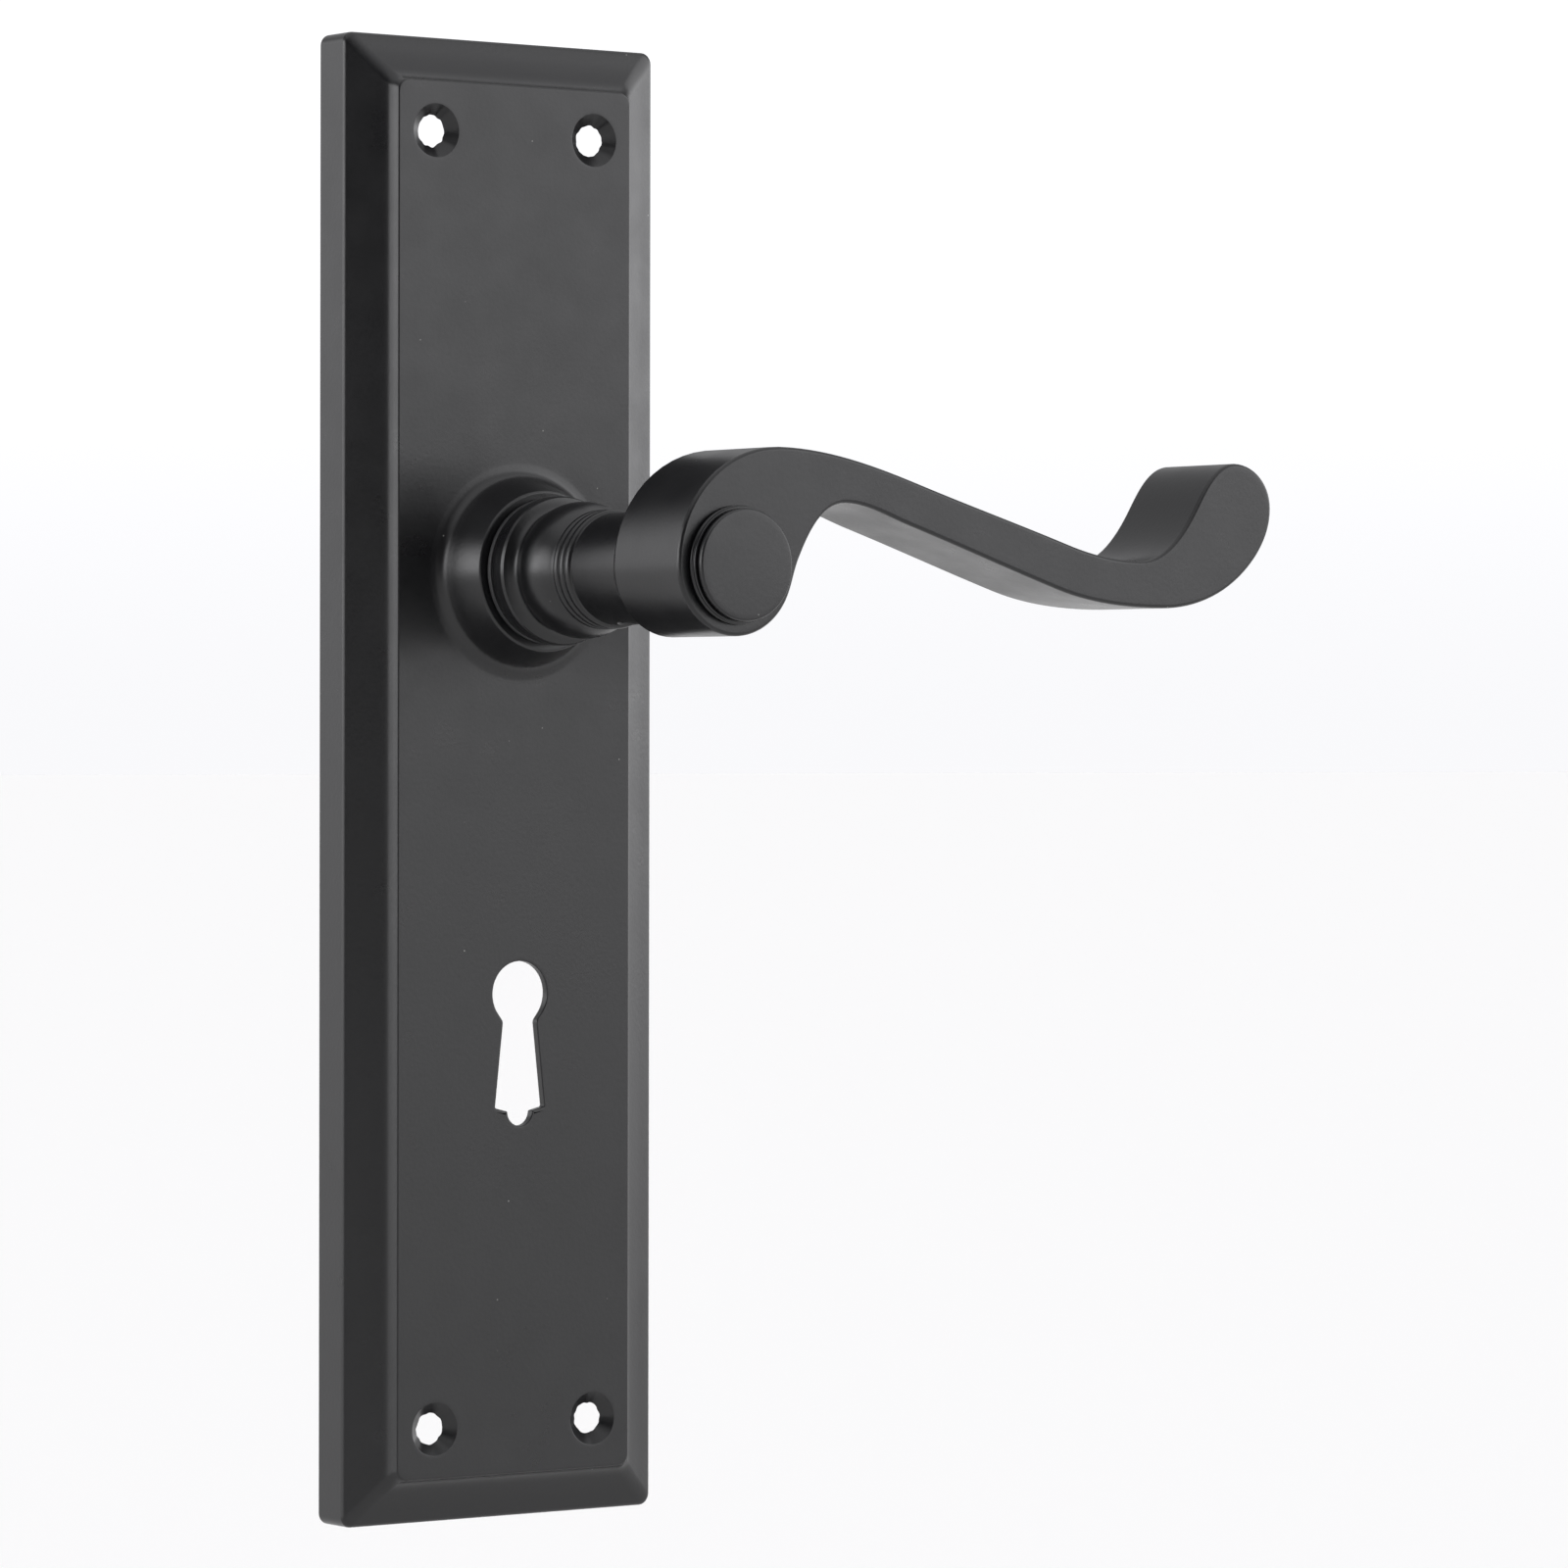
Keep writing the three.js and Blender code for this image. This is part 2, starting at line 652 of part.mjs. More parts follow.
// One leg out through the housing, the coil, and one leg in to the driver.
function returnSpring() {
  const { radius, wire, front, back, turns } = SPRING;
  const polar = (r, angle, y) =>
    new THREE.Vector3(r * Math.cos(radians(angle)), y, r * Math.sin(radians(angle)));
  const sweep = 360 * turns;
  const bend = 9;
  const points = [polar(14.9, FIXED_LEG_ANGLE, front), polar(13, FIXED_LEG_ANGLE, front)];
  points.push(polar(radius + 0.35, FIXED_LEG_ANGLE - 2, front));
  const steps = Math.round(turns * 18);
  for (let i = 0; i <= steps; i++) {
    const share = i / steps;
    const angle = FIXED_LEG_ANGLE - bend - share * (sweep - 2 * bend);
    points.push(polar(radius, angle, THREE.MathUtils.lerp(front, back, share)));
  }
  points.push(polar(radius - 0.35, MOVING_LEG_ANGLE + 2, back), polar(10.2, MOVING_LEG_ANGLE, back));
  points.push(polar(8.4, MOVING_LEG_ANGLE, back));
  const section = new THREE.Shape();
  section.absarc(0, 0, wire, 0, 2 * Math.PI, false);
  const path = new THREE.CatmullRomCurve3(points, false, 'centripetal');
  return solid(new THREE.ExtrudeGeometry(section, {
    steps: 2 * points.length,
    curveSegments: 4,
    bevelEnabled: false,
    extrudePath: path,
  }));
}

const retainingWasher = () =>
  tube(TAIL_RADIUS + 0.2, RETAINING_WASHER.outer, RETAINING_WASHER.back, RETAINING_WASHER.front);

// Open ring with a holed eye at each end for the pliers.
function circlip() {
  const { inner, outer, back, front, opening } = CIRCLIP;
  const ring = prism(sectorShape(inner, outer, opening - 90, 270 - opening), back, front, 14);
  const atEye = (side, piece) => {
    const angle = radians(side * (opening + CIRCLIP_EYE.turn) - 90);
    return moved(piece, outer * Math.cos(angle), outer * Math.sin(angle));
  };
  const eye = disc(CIRCLIP_EYE.radius, back, front, SMALL_SEGMENTS);
  const hole = disc(CIRCLIP_EYE.hole, back + PAST, front - PAST, 10);
  const eyes = [-1, 1].map((side) => atEye(side, eye));
  const holes = [-1, 1].map((side) => atEye(side, hole));
  return cut(join(ring, ...eyes), ...holes);
}

function cassetteScrew(side) {
  const { head, seat, tip, radius, headRadius } = CASSETTE_SCREW;
  const body = turned([
    [0, head],
    [headRadius - 0.9, head],
    [headRadius, head - 0.5],
    [headRadius, seat],
    [radius, seat],
    [radius, tip],
    [0, tip],
  ], SMALL_SEGMENTS);
  const cross = [block(3, 1.4, 0.7, 0, head, 0), block(0.7, 1.4, 3, 0, head, 0)];
  return moved(cut(body, ...cross), 0, side * EAR_OFFSET);
}

function cassetteLockWasher(side) {
  const { inner, outer, back, front } = LOCK_WASHER;
  return moved(tube(inner, outer, back, front, SMALL_SEGMENTS), 0, side * EAR_OFFSET);
}

// ---- Assembly -----------------------------------------------------------------------------------

const pieces = [
  ['backplate', backplate(), BLACK_COAT],
  ['bearing_bush', bearingBush(), NYLON],
  ['spring_housing', springHousing(), PLATED_STEEL],
  ['cover_plate', coverPlate(), PLATED_STEEL],
  ['return_spring', returnSpring(), SPRING_STEEL],
  ['cassette_screw_upper', cassetteScrew(1), PLATED_STEEL],
  ['cassette_screw_lower', cassetteScrew(-1), PLATED_STEEL],
  ['lock_washer_upper', cassetteLockWasher(1), PLATED_STEEL],
  ['lock_washer_lower', cassetteLockWasher(-1), PLATED_STEEL],
  ['shank', shank(), BLACK_COAT],
  ['lever_arm', leverArm(), BLACK_COAT],
  ['hub_screw', hubScrew(), DARK_STEEL],
  ['hub_washer', hubWasher(), PLATED_STEEL],
  ['button_step', buttonStep(), BLACK_COAT],
  ['button_cap', buttonCap(), BLACK_COAT],
  ['grub_screw', grubScrew(), DARK_STEEL],
  ['spindle', spindle(), BRIGHT_STEEL],
  ['spring_driver', springDriver(), DARK_STEEL],
  ['retaining_washer', retainingWasher(), PLATED_STEEL],
  ['circlip', circlip(), SPRING_STEEL],
];

const group = new THREE.Group();
for (const [name, manifold, material] of pieces) {
  const mesh = new THREE.Mesh(geometryOf(manifold), material);
  mesh.name = name;
  group.add(mesh);
}

export default group;
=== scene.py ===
"""Looks of a lever door handle on a long backplate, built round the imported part.

Shapes are worked out in millimetres in the part's own frame, +X along the lever, -Y out of the
door and +Z up, with the lever's axis through the origin, and become metres in Skin.piece.
"""

import json
import math

import bmesh
import bpy
from mathutils import Matrix, Vector, noise
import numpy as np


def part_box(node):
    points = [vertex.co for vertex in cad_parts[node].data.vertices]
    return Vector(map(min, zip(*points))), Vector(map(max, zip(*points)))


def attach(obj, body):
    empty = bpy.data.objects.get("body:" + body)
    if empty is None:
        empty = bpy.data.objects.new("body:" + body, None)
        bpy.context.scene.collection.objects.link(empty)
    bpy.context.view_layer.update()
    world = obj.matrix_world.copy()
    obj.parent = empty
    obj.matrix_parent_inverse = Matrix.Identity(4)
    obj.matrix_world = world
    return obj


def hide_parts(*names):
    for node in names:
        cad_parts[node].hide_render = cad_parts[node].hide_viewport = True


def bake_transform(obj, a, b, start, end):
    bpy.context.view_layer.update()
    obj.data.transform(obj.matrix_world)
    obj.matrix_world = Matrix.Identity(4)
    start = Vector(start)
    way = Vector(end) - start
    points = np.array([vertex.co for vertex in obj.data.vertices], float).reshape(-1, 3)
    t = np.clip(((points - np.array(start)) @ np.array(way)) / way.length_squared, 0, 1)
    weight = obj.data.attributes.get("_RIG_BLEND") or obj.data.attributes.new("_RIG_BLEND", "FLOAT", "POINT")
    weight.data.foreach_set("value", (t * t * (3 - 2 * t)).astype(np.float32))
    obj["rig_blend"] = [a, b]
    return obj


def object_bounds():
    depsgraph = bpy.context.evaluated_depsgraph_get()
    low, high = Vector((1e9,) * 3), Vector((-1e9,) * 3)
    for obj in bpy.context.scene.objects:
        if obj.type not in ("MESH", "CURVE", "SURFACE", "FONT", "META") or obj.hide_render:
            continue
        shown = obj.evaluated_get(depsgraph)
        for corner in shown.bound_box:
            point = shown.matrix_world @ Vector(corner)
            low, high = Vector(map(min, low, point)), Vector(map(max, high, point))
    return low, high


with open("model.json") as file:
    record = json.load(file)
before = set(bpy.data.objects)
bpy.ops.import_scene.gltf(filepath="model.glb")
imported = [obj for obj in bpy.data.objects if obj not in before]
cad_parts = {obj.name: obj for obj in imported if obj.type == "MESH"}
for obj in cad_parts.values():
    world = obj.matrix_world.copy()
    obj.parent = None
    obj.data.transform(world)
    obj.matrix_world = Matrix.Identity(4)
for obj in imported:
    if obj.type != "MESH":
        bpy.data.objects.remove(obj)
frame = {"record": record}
cad_low, cad_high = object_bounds()

# ---- Sizes ---------------------------------------------------------------------------------------

MM = 0.001
SEGMENTS = 144  # sides of a large round
SMALL_SEGMENTS = 64  # sides of a small round
ARC_STEP = math.radians(11)  # most that a rounded edge turns from one face to the next
SHARP = math.radians(38)  # edges that turn more than this are creases
SAME_POINT = 0.0001 * MM  # points nearer than this are one, when a mesh is built
WELD = 0.001 * MM  # and when it has been cut
TAU = 2 * math.pi


def node_box(node):
    """Lowest and highest corner of a CAD node, in millimetres."""
    low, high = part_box(node)
    return low / MM, high / MM


plate_low, plate_high = node_box("backplate")
arm_low, arm_high = node_box("lever_arm")
cap_low, _ = node_box("button_cap")
step_low, _ = node_box("button_step")
spindle_low, spindle_high = node_box("spindle")
housing_low, housing_high = node_box("spring_housing")
cover_low, cover_high = node_box("cover_plate")
driver_low, _ = node_box("spring_driver")
shank_low, shank_high = node_box("shank")
bush_low, bush_high = node_box("bearing_bush")

PLATE_CENTRE = ((plate_low.x + plate_high.x) / 2, (plate_low.z + plate_high.z) / 2)
PLATE_HALF = ((plate_high.x - plate_low.x) / 2, (plate_high.z - plate_low.z) / 2)
BOSS_FRONT = plate_low.y
PANEL_FRONT = -9.9
PANEL_BACK = -8.5
PLATE_CORNER = 1.5  # softened mitre of the plate's outside
HOLLOW_CORNER = 1.2  # and of the hollow behind it
# Screw holes: how far they are from the plate's middle each way, and their radii.
CORNER_SCREW = {"x": 12.8, "z": 87.1, "rim": 3.6, "throat": 2.1}
KEYHOLE_DROP = 57  # from the lever's axis down to the middle of the keyhole's round
BORE_RADIUS = 9.1  # through the boss, for the bush
POST = {"radius": 3.2, "end": -5.4, "thread": 1.6, "thread_end": -8.9}  # hold the cassette
EAR_OFFSET = 19.4  # from the lever's axis to the posts and the cassette's ears


# ---- Outlines in the plane of the door -----------------------------------------------------------


def circle(radius, centre=(0, 0), segments=SEGMENTS):
    """Anticlockwise round, as (x, z) points."""
    return [
        (centre[0] + radius * math.cos(TAU * i / segments),
         centre[1] + radius * math.sin(TAU * i / segments))
        for i in range(segments)
    ]


def arc(radius, start, end, centre=(0, 0), step=4):
    """Points of an arc from one angle to another, in degrees."""
    count = max(2, round(abs(end - start) / step))
    angles = [math.radians(start + (end - start) * i / count) for i in range(count + 1)]
    return [(centre[0] + radius * math.cos(a), centre[1] + radius * math.sin(a)) for a in angles]


def rectangle(half_x, half_z, corner, centre=(0, 0), steps=6):
    """Anticlockwise rectangle with round corners."""
    points = []
    for quarter, (sx, sz) in enumerate([(1, 1), (-1, 1), (-1, -1), (1, -1)]):
        for i in range(steps + 1):
            a = math.radians(90 * (quarter + i / steps))
            points.append((
                centre[0] + sx * (half_x - corner) + corner * math.cos(a),
                centre[1] + sz * (half_z - corner) + corner * math.sin(a),
            ))
    return points


def rounded(corners, closed=False):
    """A path through (a, b) or (a, b, radius) corners, each radius turned into an arc."""
    path = []
    count = len(corners)
    for i, corner in enumerate(corners):
        here = Vector(corner[:2])
        radius = corner[2] if len(corner) > 2 else 0
        if not radius or (not closed and i in (0, count - 1)):
            path.append(tuple(here))
            continue
        before = Vector(corners[i - 1][:2]) - here
        after = Vector(corners[(i + 1) % count][:2]) - here
        between = before.angle(after)
        reach = radius / math.tan(between / 2)
        shrink = min(1, 0.49 * min(before.length, after.length) / reach)
        reach, radius = reach * shrink, radius * shrink
        before.normalize()
        after.normalize()
        centre = here + (before + after).normalized() * radius / math.sin(between / 2)
        steps = max(2, math.ceil((math.pi - between) / ARC_STEP))
        first = here + before * reach - centre
        last = here + after * reach - centre
        turn = math.atan2(first.cross(last), first.dot(last))
        for k in range(steps + 1):
            path.append(tuple(centre + Matrix.Rotation(turn * k / steps, 2) @ first))
    return path


def spline(points, steps=6):
    """A smooth curve through the points, without its last point."""
    ends = [Vector(p) for p in points]
    ends = [2 * ends[0] - ends[1], *ends, 2 * ends[-1] - ends[-2]]
    path = []
    for a, b, c, d in zip(ends, ends[1:], ends[2:], ends[3:]):
        for k in range(steps):
            t = k / steps
            path.append(tuple(0.5 * (
                2 * b + t * (c - a) + t * t * (2 * a - 5 * b + 4 * c - d)
                + t ** 3 * (3 * b - a - 3 * c + d)
            )))
    return path


def inset(outline, distance):
    """The outline moved into the shape it encloses, if it runs anticlockwise."""
    moved = []
    count = len(outline)
    for i, point in enumerate(outline):
        before = Vector(point) - Vector(outline[i - 1])
        after = Vector(outline[(i + 1) % count]) - Vector(point)
        normal = Vector((-before.y, before.x)).normalized() + Vector((-after.y, after.x)).normalized()
        share = max(normal.length_squared / 2, 0.5)
        moved.append(tuple(Vector(point) + normal * distance / share))
    return moved


# ---- Building meshes -----------------------------------------------------------------------------


class Skin:
    """A closed mesh made of rings of points, the walls between them and flat faces."""

    def __init__(self):
        self.points = []
        self.quads = []
        self.flats = []

    def ring(self, outline, y):
        first = len(self.points)
        self.points.extend((x, y, z) for x, z in outline)
        return list(range(first, len(self.points)))

    def wall(self, rings):
        for a, b in zip(rings, rings[1:]):
            for i in range(len(a)):
                j = (i + 1) % len(a)
                self.quads.append((a[i], a[j], b[j], b[i]))

    def flat(self, *rings):
        self.flats.append(rings)

    def lathe(self, profile, centre=(0, 0), segments=SEGMENTS):
        """Rings from (radius, y) points, joined by walls."""
        rings = [self.ring(circle(r, centre, segments), y) for r, y in profile]
        self.wall(rings)
        return rings

    def edge(self, outline, path):
        """Rings from one outline and (inset, y) points, joined by walls."""
        rings = [self.ring(inset(outline, d), y) for d, y in path]
        self.wall(rings)
        return rings

    def box(self, half_x, half_z, corner, path, centre=(0, 0)):
        """Rings of a rectangle that keeps its corner radius, at (inset, y) points."""
        rings = [self.ring(rectangle(half_x - d, half_z - d, corner, centre), y) for d, y in path]
        self.wall(rings)
        return rings

    def build(self, name):
        """The mesh as a Blender object in metres, with its faces pointing out."""
        bm = bmesh.new()
        verts = [bm.verts.new(Vector(p) * MM) for p in self.points]
        for quad in self.quads:
            bm.faces.new([verts[i] for i in quad])
        for rings in self.flats:
            edges = []
            for ring in rings:
                for i, k in enumerate(ring):
                    ends = (verts[ring[i - 1]], verts[k])
                    edges.append(bm.edges.get(ends) or bm.edges.new(ends))
            bmesh.ops.triangle_fill(bm, use_beauty=True, edges=edges)
        bmesh.ops.remove_doubles(bm, verts=bm.verts, dist=SAME_POINT)
        bmesh.ops.recalc_face_normals(bm, faces=bm.faces)
        if bm.calc_volume(signed=True) < 0:
            bmesh.ops.reverse_faces(bm, faces=bm.faces)
        mesh = bpy.data.meshes.new(name)
        bm.to_mesh(mesh)
        bm.free()
        made = bpy.data.objects.new(name, mesh)
        bpy.context.scene.collection.objects.link(made)
        return made


def shade(piece):
    """Smooth faces with creases at real corners; large flat faces keep their own direction."""
    piece.data.shade_smooth()
    piece.data.set_sharp_from_angle(angle=SHARP)
    weighted = piece.modifiers.new("weighted_normals", "WEIGHTED_NORMAL")
    weighted.keep_sharp = True


def carve(target, tool, operation="DIFFERENCE"):
    """Cuts the tool out of the target, or joins it on, and removes the tool."""
    step = target.modifiers.new("carve", "BOOLEAN")
    step.operation = operation
    step.solver = "EXACT"
    step.object = tool
    graph = bpy.context.evaluated_depsgraph_get()
    shaped = bpy.data.meshes.new_from_object(target.evaluated_get(graph))
    target.modifiers.clear()
    bm = bmesh.new()
    bm.from_mesh(shaped)
    bmesh.ops.remove_doubles(bm, verts=bm.verts, dist=WELD)
    bmesh.ops.dissolve_degenerate(bm, edges=bm.edges, dist=WELD)
    bm.to_mesh(shaped)
    bm.free()
    target.data = shaped
    bpy.data.objects.remove(tool)
    return target


def settle(piece, node, material):
    """Puts a finished piece in its CAD node's place."""
    body = next(b for b, nodes in frame["record"]["behaviour"]["bodies"].items() if node in nodes)
    shade(piece)
    piece.data.materials.clear()
    piece.data.materials.append(material)
    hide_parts(node)
    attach(piece, body)


def lathed(name, profile, centre=(0, 0), segments=SEGMENTS, closed=False):
    """A turned piece: capped at both ends, or a ring if its profile closes on itself."""
    skin = Skin()
    rings = skin.lathe(profile, centre, segments)
    if closed:
        skin.wall([rings[-1], rings[0]])
    else:
        skin.flat(rings[0])
        skin.flat(rings[-1])
    return skin.build(name)


def ring_profile(inner, outer, back, front, edge):
    """Closed profile of a washer or tube with softened edges."""
    corners = [(inner, back), (outer, back), (outer, front), (inner, front)]
    return rounded([(*corner, edge) for corner in corners], closed=True)


def stamped(name, outline, holes, back, front, edge):
    """A flat plate with softened edges and holes right through it."""
    path = rounded([(2 * edge, back), (0, back, edge), (0, front, edge), (2 * edge, front)])
    skin = Skin()
    walls = [skin.edge(outline, path)]
    walls += [skin.edge(hole, [(-d, y) for d, y in path]) for hole in holes]
    skin.flat(*[rings[0] for rings in walls])
    skin.flat(*[rings[-1] for rings in walls])
    return skin.build(name)


def bar(name, half_x, half_z, back, front, edge, centre=(0, 0)):
    """A rectangular bar along Y with softened edges."""
    skin = Skin()
    path = rounded([(2 * edge, back), (0, back, edge), (0, front, edge), (2 * edge, front)])
    rings = skin.box(half_x, half_z, edge, path, centre)
    skin.flat(rings[0])
    skin.flat(rings[-1])
    return skin.build(name)


# ---- Materials -----------------------------------------------------------------------------------


class Surface:
    """A node material that is built up a layer at a time."""

    def __init__(self, name):
        self.material = bpy.data.materials.new(name)
        self.material.use_nodes = True
        self.tree = self.material.node_tree
        self.shader = self.tree.nodes["Principled BSDF"]
        self.place = self.node("ShaderNodeTexCoord").outputs["Object"]
        self.last_bump = None

    def node(self, kind, **values):
        made = self.tree.nodes.new(kind)
        for key, value in values.items():
            if key in made.inputs:
                made.inputs[key].default_value = value
            else:
                setattr(made, key, value)
        return made

    def link(self, output, target):
        self.tree.links.new(output, target)

    def grain(self, size, detail=3.0, roughness=0.5, stretch=(1, 1, 1)):
        """Noise with features of the given size in millimetres."""
        mapping = self.node("ShaderNodeMapping")
        mapping.inputs["Scale"].default_value = [s / (size * MM) for s in stretch]
        self.link(self.place, mapping.inputs["Vector"])
        texture = self.node("ShaderNodeTexNoise", Scale=1.0, Detail=detail, Roughness=roughness)
        self.link(mapping.outputs["Vector"], texture.inputs["Vector"])
        return texture.outputs["Fac"]

    def specks(self, size, share):
        """1 on sparse dots and 0 elsewhere: a share of the cells, size millimetres wide, hold one."""
        dot, edge = 0.04, 0.07  # a dot's solid and faded radius, in cells
        cells = self.node("ShaderNodeTexVoronoi", Scale=1 / (size * MM))
        self.link(self.place, cells.inputs["Vector"])
        near = self.remap(cells.outputs["Distance"], dot, edge, 1, 0)
        chance = self.node("ShaderNodeSeparateColor")
        self.link(cells.outputs["Color"], chance.inputs["Color"])
        chosen = self.remap(chance.outputs["Red"], 1 - share, 1 - share + 0.001, 0, 1)
        both = self.node("ShaderNodeMath", operation="MULTIPLY")
        self.link(near, both.inputs[0])
        self.link(chosen, both.inputs[1])
        return both.outputs[0]

    def remap(self, value, low, high, to_low, to_high):
        made = self.node("ShaderNodeMapRange")
        for key, number in {
            "From Min": low, "From Max": high, "To Min": to_low, "To Max": to_high,
        }.items():
            made.inputs[key].default_value = number
        self.link(value, made.inputs["Value"])
        return made.outputs["Result"]

    def mix(self, share, first, second):
        made = self.node("ShaderNodeMix", data_type="RGBA")
        self.link(share, made.inputs["Factor"])
        for socket, value in zip([i for i in made.inputs if i.type == "RGBA"], [first, second]):
            if isinstance(value, tuple):
                socket.default_value = (*value, 1)
            else:
                self.link(value, socket)
        return next(o for o in made.outputs if o.type == "RGBA")

    def colour(self, output):
        self.link(output, self.shader.inputs["Base Color"])

    def roughness(self, output):
        self.link(output, self.shader.inputs["Roughness"])

    def bump(self, height, depth, strength=1.0):
        """Adds relief: depth is its height in millimetres."""
        made = self.node("ShaderNodeBump", Strength=strength, Distance=depth * MM)
        self.link(height, made.inputs["Height"])
        if self.last_bump:
            self.link(self.last_bump, made.inputs["Normal"])
        self.last_bump = made.outputs["Normal"]
        self.link(self.last_bump, self.shader.inputs["Normal"])


def black_coat():
    """Satin black powder coat: faint orange peel, fine grain and a little dust."""
    surface = Surface("black_coat")
    cloud = surface.grain(22, detail=4)
    peel = surface.grain(0.55, detail=2, roughness=0.4)
    fine = surface.grain(0.14, detail=2, roughness=0.6)
    darker, lighter, dust = (0.003, 0.003, 0.0036), (0.0042, 0.0042, 0.005), (0.2, 0.2, 0.19)
    base = surface.mix(surface.remap(cloud, 0.35, 0.65, 0, 1), darker, lighter)
    surface.colour(surface.mix(surface.specks(1.8, 0.04), base, dust))
    surface.roughness(surface.remap(surface.grain(6, detail=5), 0.3, 0.7, 0.27, 0.34))
    surface.bump(peel, 0.010)
    surface.bump(fine, 0.0022)
    return surface.material


def nylon():
    """Black moulded plastic, duller than the coat."""
    surface = Surface("nylon")
    darker, lighter = (0.012, 0.012, 0.013), (0.02, 0.02, 0.021)
    surface.colour(surface.mix(surface.grain(3, detail=4), darker, lighter))
    surface.roughness(surface.remap(surface.grain(0.7), 0.3, 0.7, 0.5, 0.68))
    surface.bump(surface.grain(0.25), 0.008)
    return surface.material


def metal(name, dark, light, smooth, rough, grain_size, stretch=(1, 1, 1), relief=0.003):
    """Bare or plated metal, with stretched grain where it was drawn or turned."""
    surface = Surface(name)
    surface.shader.inputs["Metallic"].default_value = 1
    patches = surface.remap(surface.grain(grain_size * 8, detail=5), 0.3, 0.7, 0, 1)
    surface.colour(surface.mix(patches, dark, light))
    lines = surface.grain(grain_size, detail=4, stretch=stretch)
    surface.roughness(surface.remap(lines, 0.25, 0.75, smooth, rough))
    surface.bump(lines, relief)
    return surface.material


BLACK = black_coat()
NYLON = nylon()
PLATED = metal("plated_steel", (0.5, 0.51, 0.5), (0.66, 0.67, 0.64), 0.24, 0.42, 0.8)
SPRING = metal("spring_steel", (0.2, 0.205, 0.215), (0.32, 0.325, 0.335), 0.25, 0.4, 0.3)
BRIGHT = metal("bright_steel", (0.42, 0.425, 0.43), (0.56, 0.56, 0.57), 0.2, 0.38, 0.25,
               stretch=(1, 0.04, 1), relief=0.0015)
DARK = metal("dark_steel", (0.04, 0.04, 0.043), (0.075, 0.075, 0.08), 0.32, 0.5, 0.4)

# ---- Backplate -----------------------------------------------------------------------------------


def keyhole():
    """Round top, neck that widens downwards, and a small round notch in the foot."""
    radius, neck, foot, notch = 4.4, (2.7, -3.7), (4.0, -15.4), (2.0, -15.9)
    soft_corner = 14  # degrees of the round that its rounded corner with the neck takes up
    shoulder = math.degrees(math.asin(neck[0] / radius)) + soft_corner
    top = arc(radius, shoulder - 90, 270 - shoulder, step=4)
    corners = [
        (-neck[0], neck[1], 1.0),
        (-foot[0], foot[1], 0.3),
        (-notch[0], notch[1], 0.25),
        *[(x, notch[1] + z) for x, z in arc(notch[0], 190, 350, step=8)],
        (notch[0], notch[1], 0.25),
        (foot[0], foot[1], 0.3),
        (neck[0], neck[1], 1.0),
    ]
    outline = rounded([*top, *corners], closed=True)
    return [(x, z - KEYHOLE_DROP) for x, z in outline]


def countersink(skin, centre):
    """A tapered screw hole with uneven coating at its throat."""
    rim, throat = CORNER_SCREW["rim"], CORNER_SCREW["throat"]
    uneven, across, deep = 0.2, 1.3, 0.7  # most of the unevenness, and how fast it changes each way
    path = rounded([
        (rim + 0.5, PANEL_FRONT),
        (rim, PANEL_FRONT, 0.14),
        (throat, PANEL_BACK - 0.1, 0.06),
        (throat, PANEL_BACK, 0.03),
        (throat + 0.3, PANEL_BACK),
    ])
    rings = []
    for radius, y in path:
        depth = min(1, max(0, (rim - radius) / (rim - throat)))
        outline = []
        for x, z in circle(radius, centre, SMALL_SEGMENTS):
            away = Vector((x - centre[0], z - centre[1])).normalized()
            build_up = uneven * depth * noise.noise(Vector((x * across, y * deep, z * across)))
            outline.append((x + away.x * build_up, z + away.y * build_up))
        rings.append(skin.ring(outline, y))
    skin.wall(rings)
    return rings


def boss_profile():
    """Concave foot on the panel, conical side, soft rim, front face and bore."""
    foot = spline([
        (15.2, PANEL_FRONT),
        (14.4, PANEL_FRONT - 0.03),
        (13.5, -10.12),
        (12.85, -10.6),
        (12.45, -11.4),
        (12.0, -12.65),
        (11.5, -14.1),
    ])
    rim = rounded([
        (11.5, -14.1),
        (10.8, BOSS_FRONT, 0.42),
        (BORE_RADIUS, BOSS_FRONT, 0.2),
        (BORE_RADIUS, PANEL_BACK, 0.15),
        (BORE_RADIUS + 0.4, PANEL_BACK),
    ])
    return foot + rim


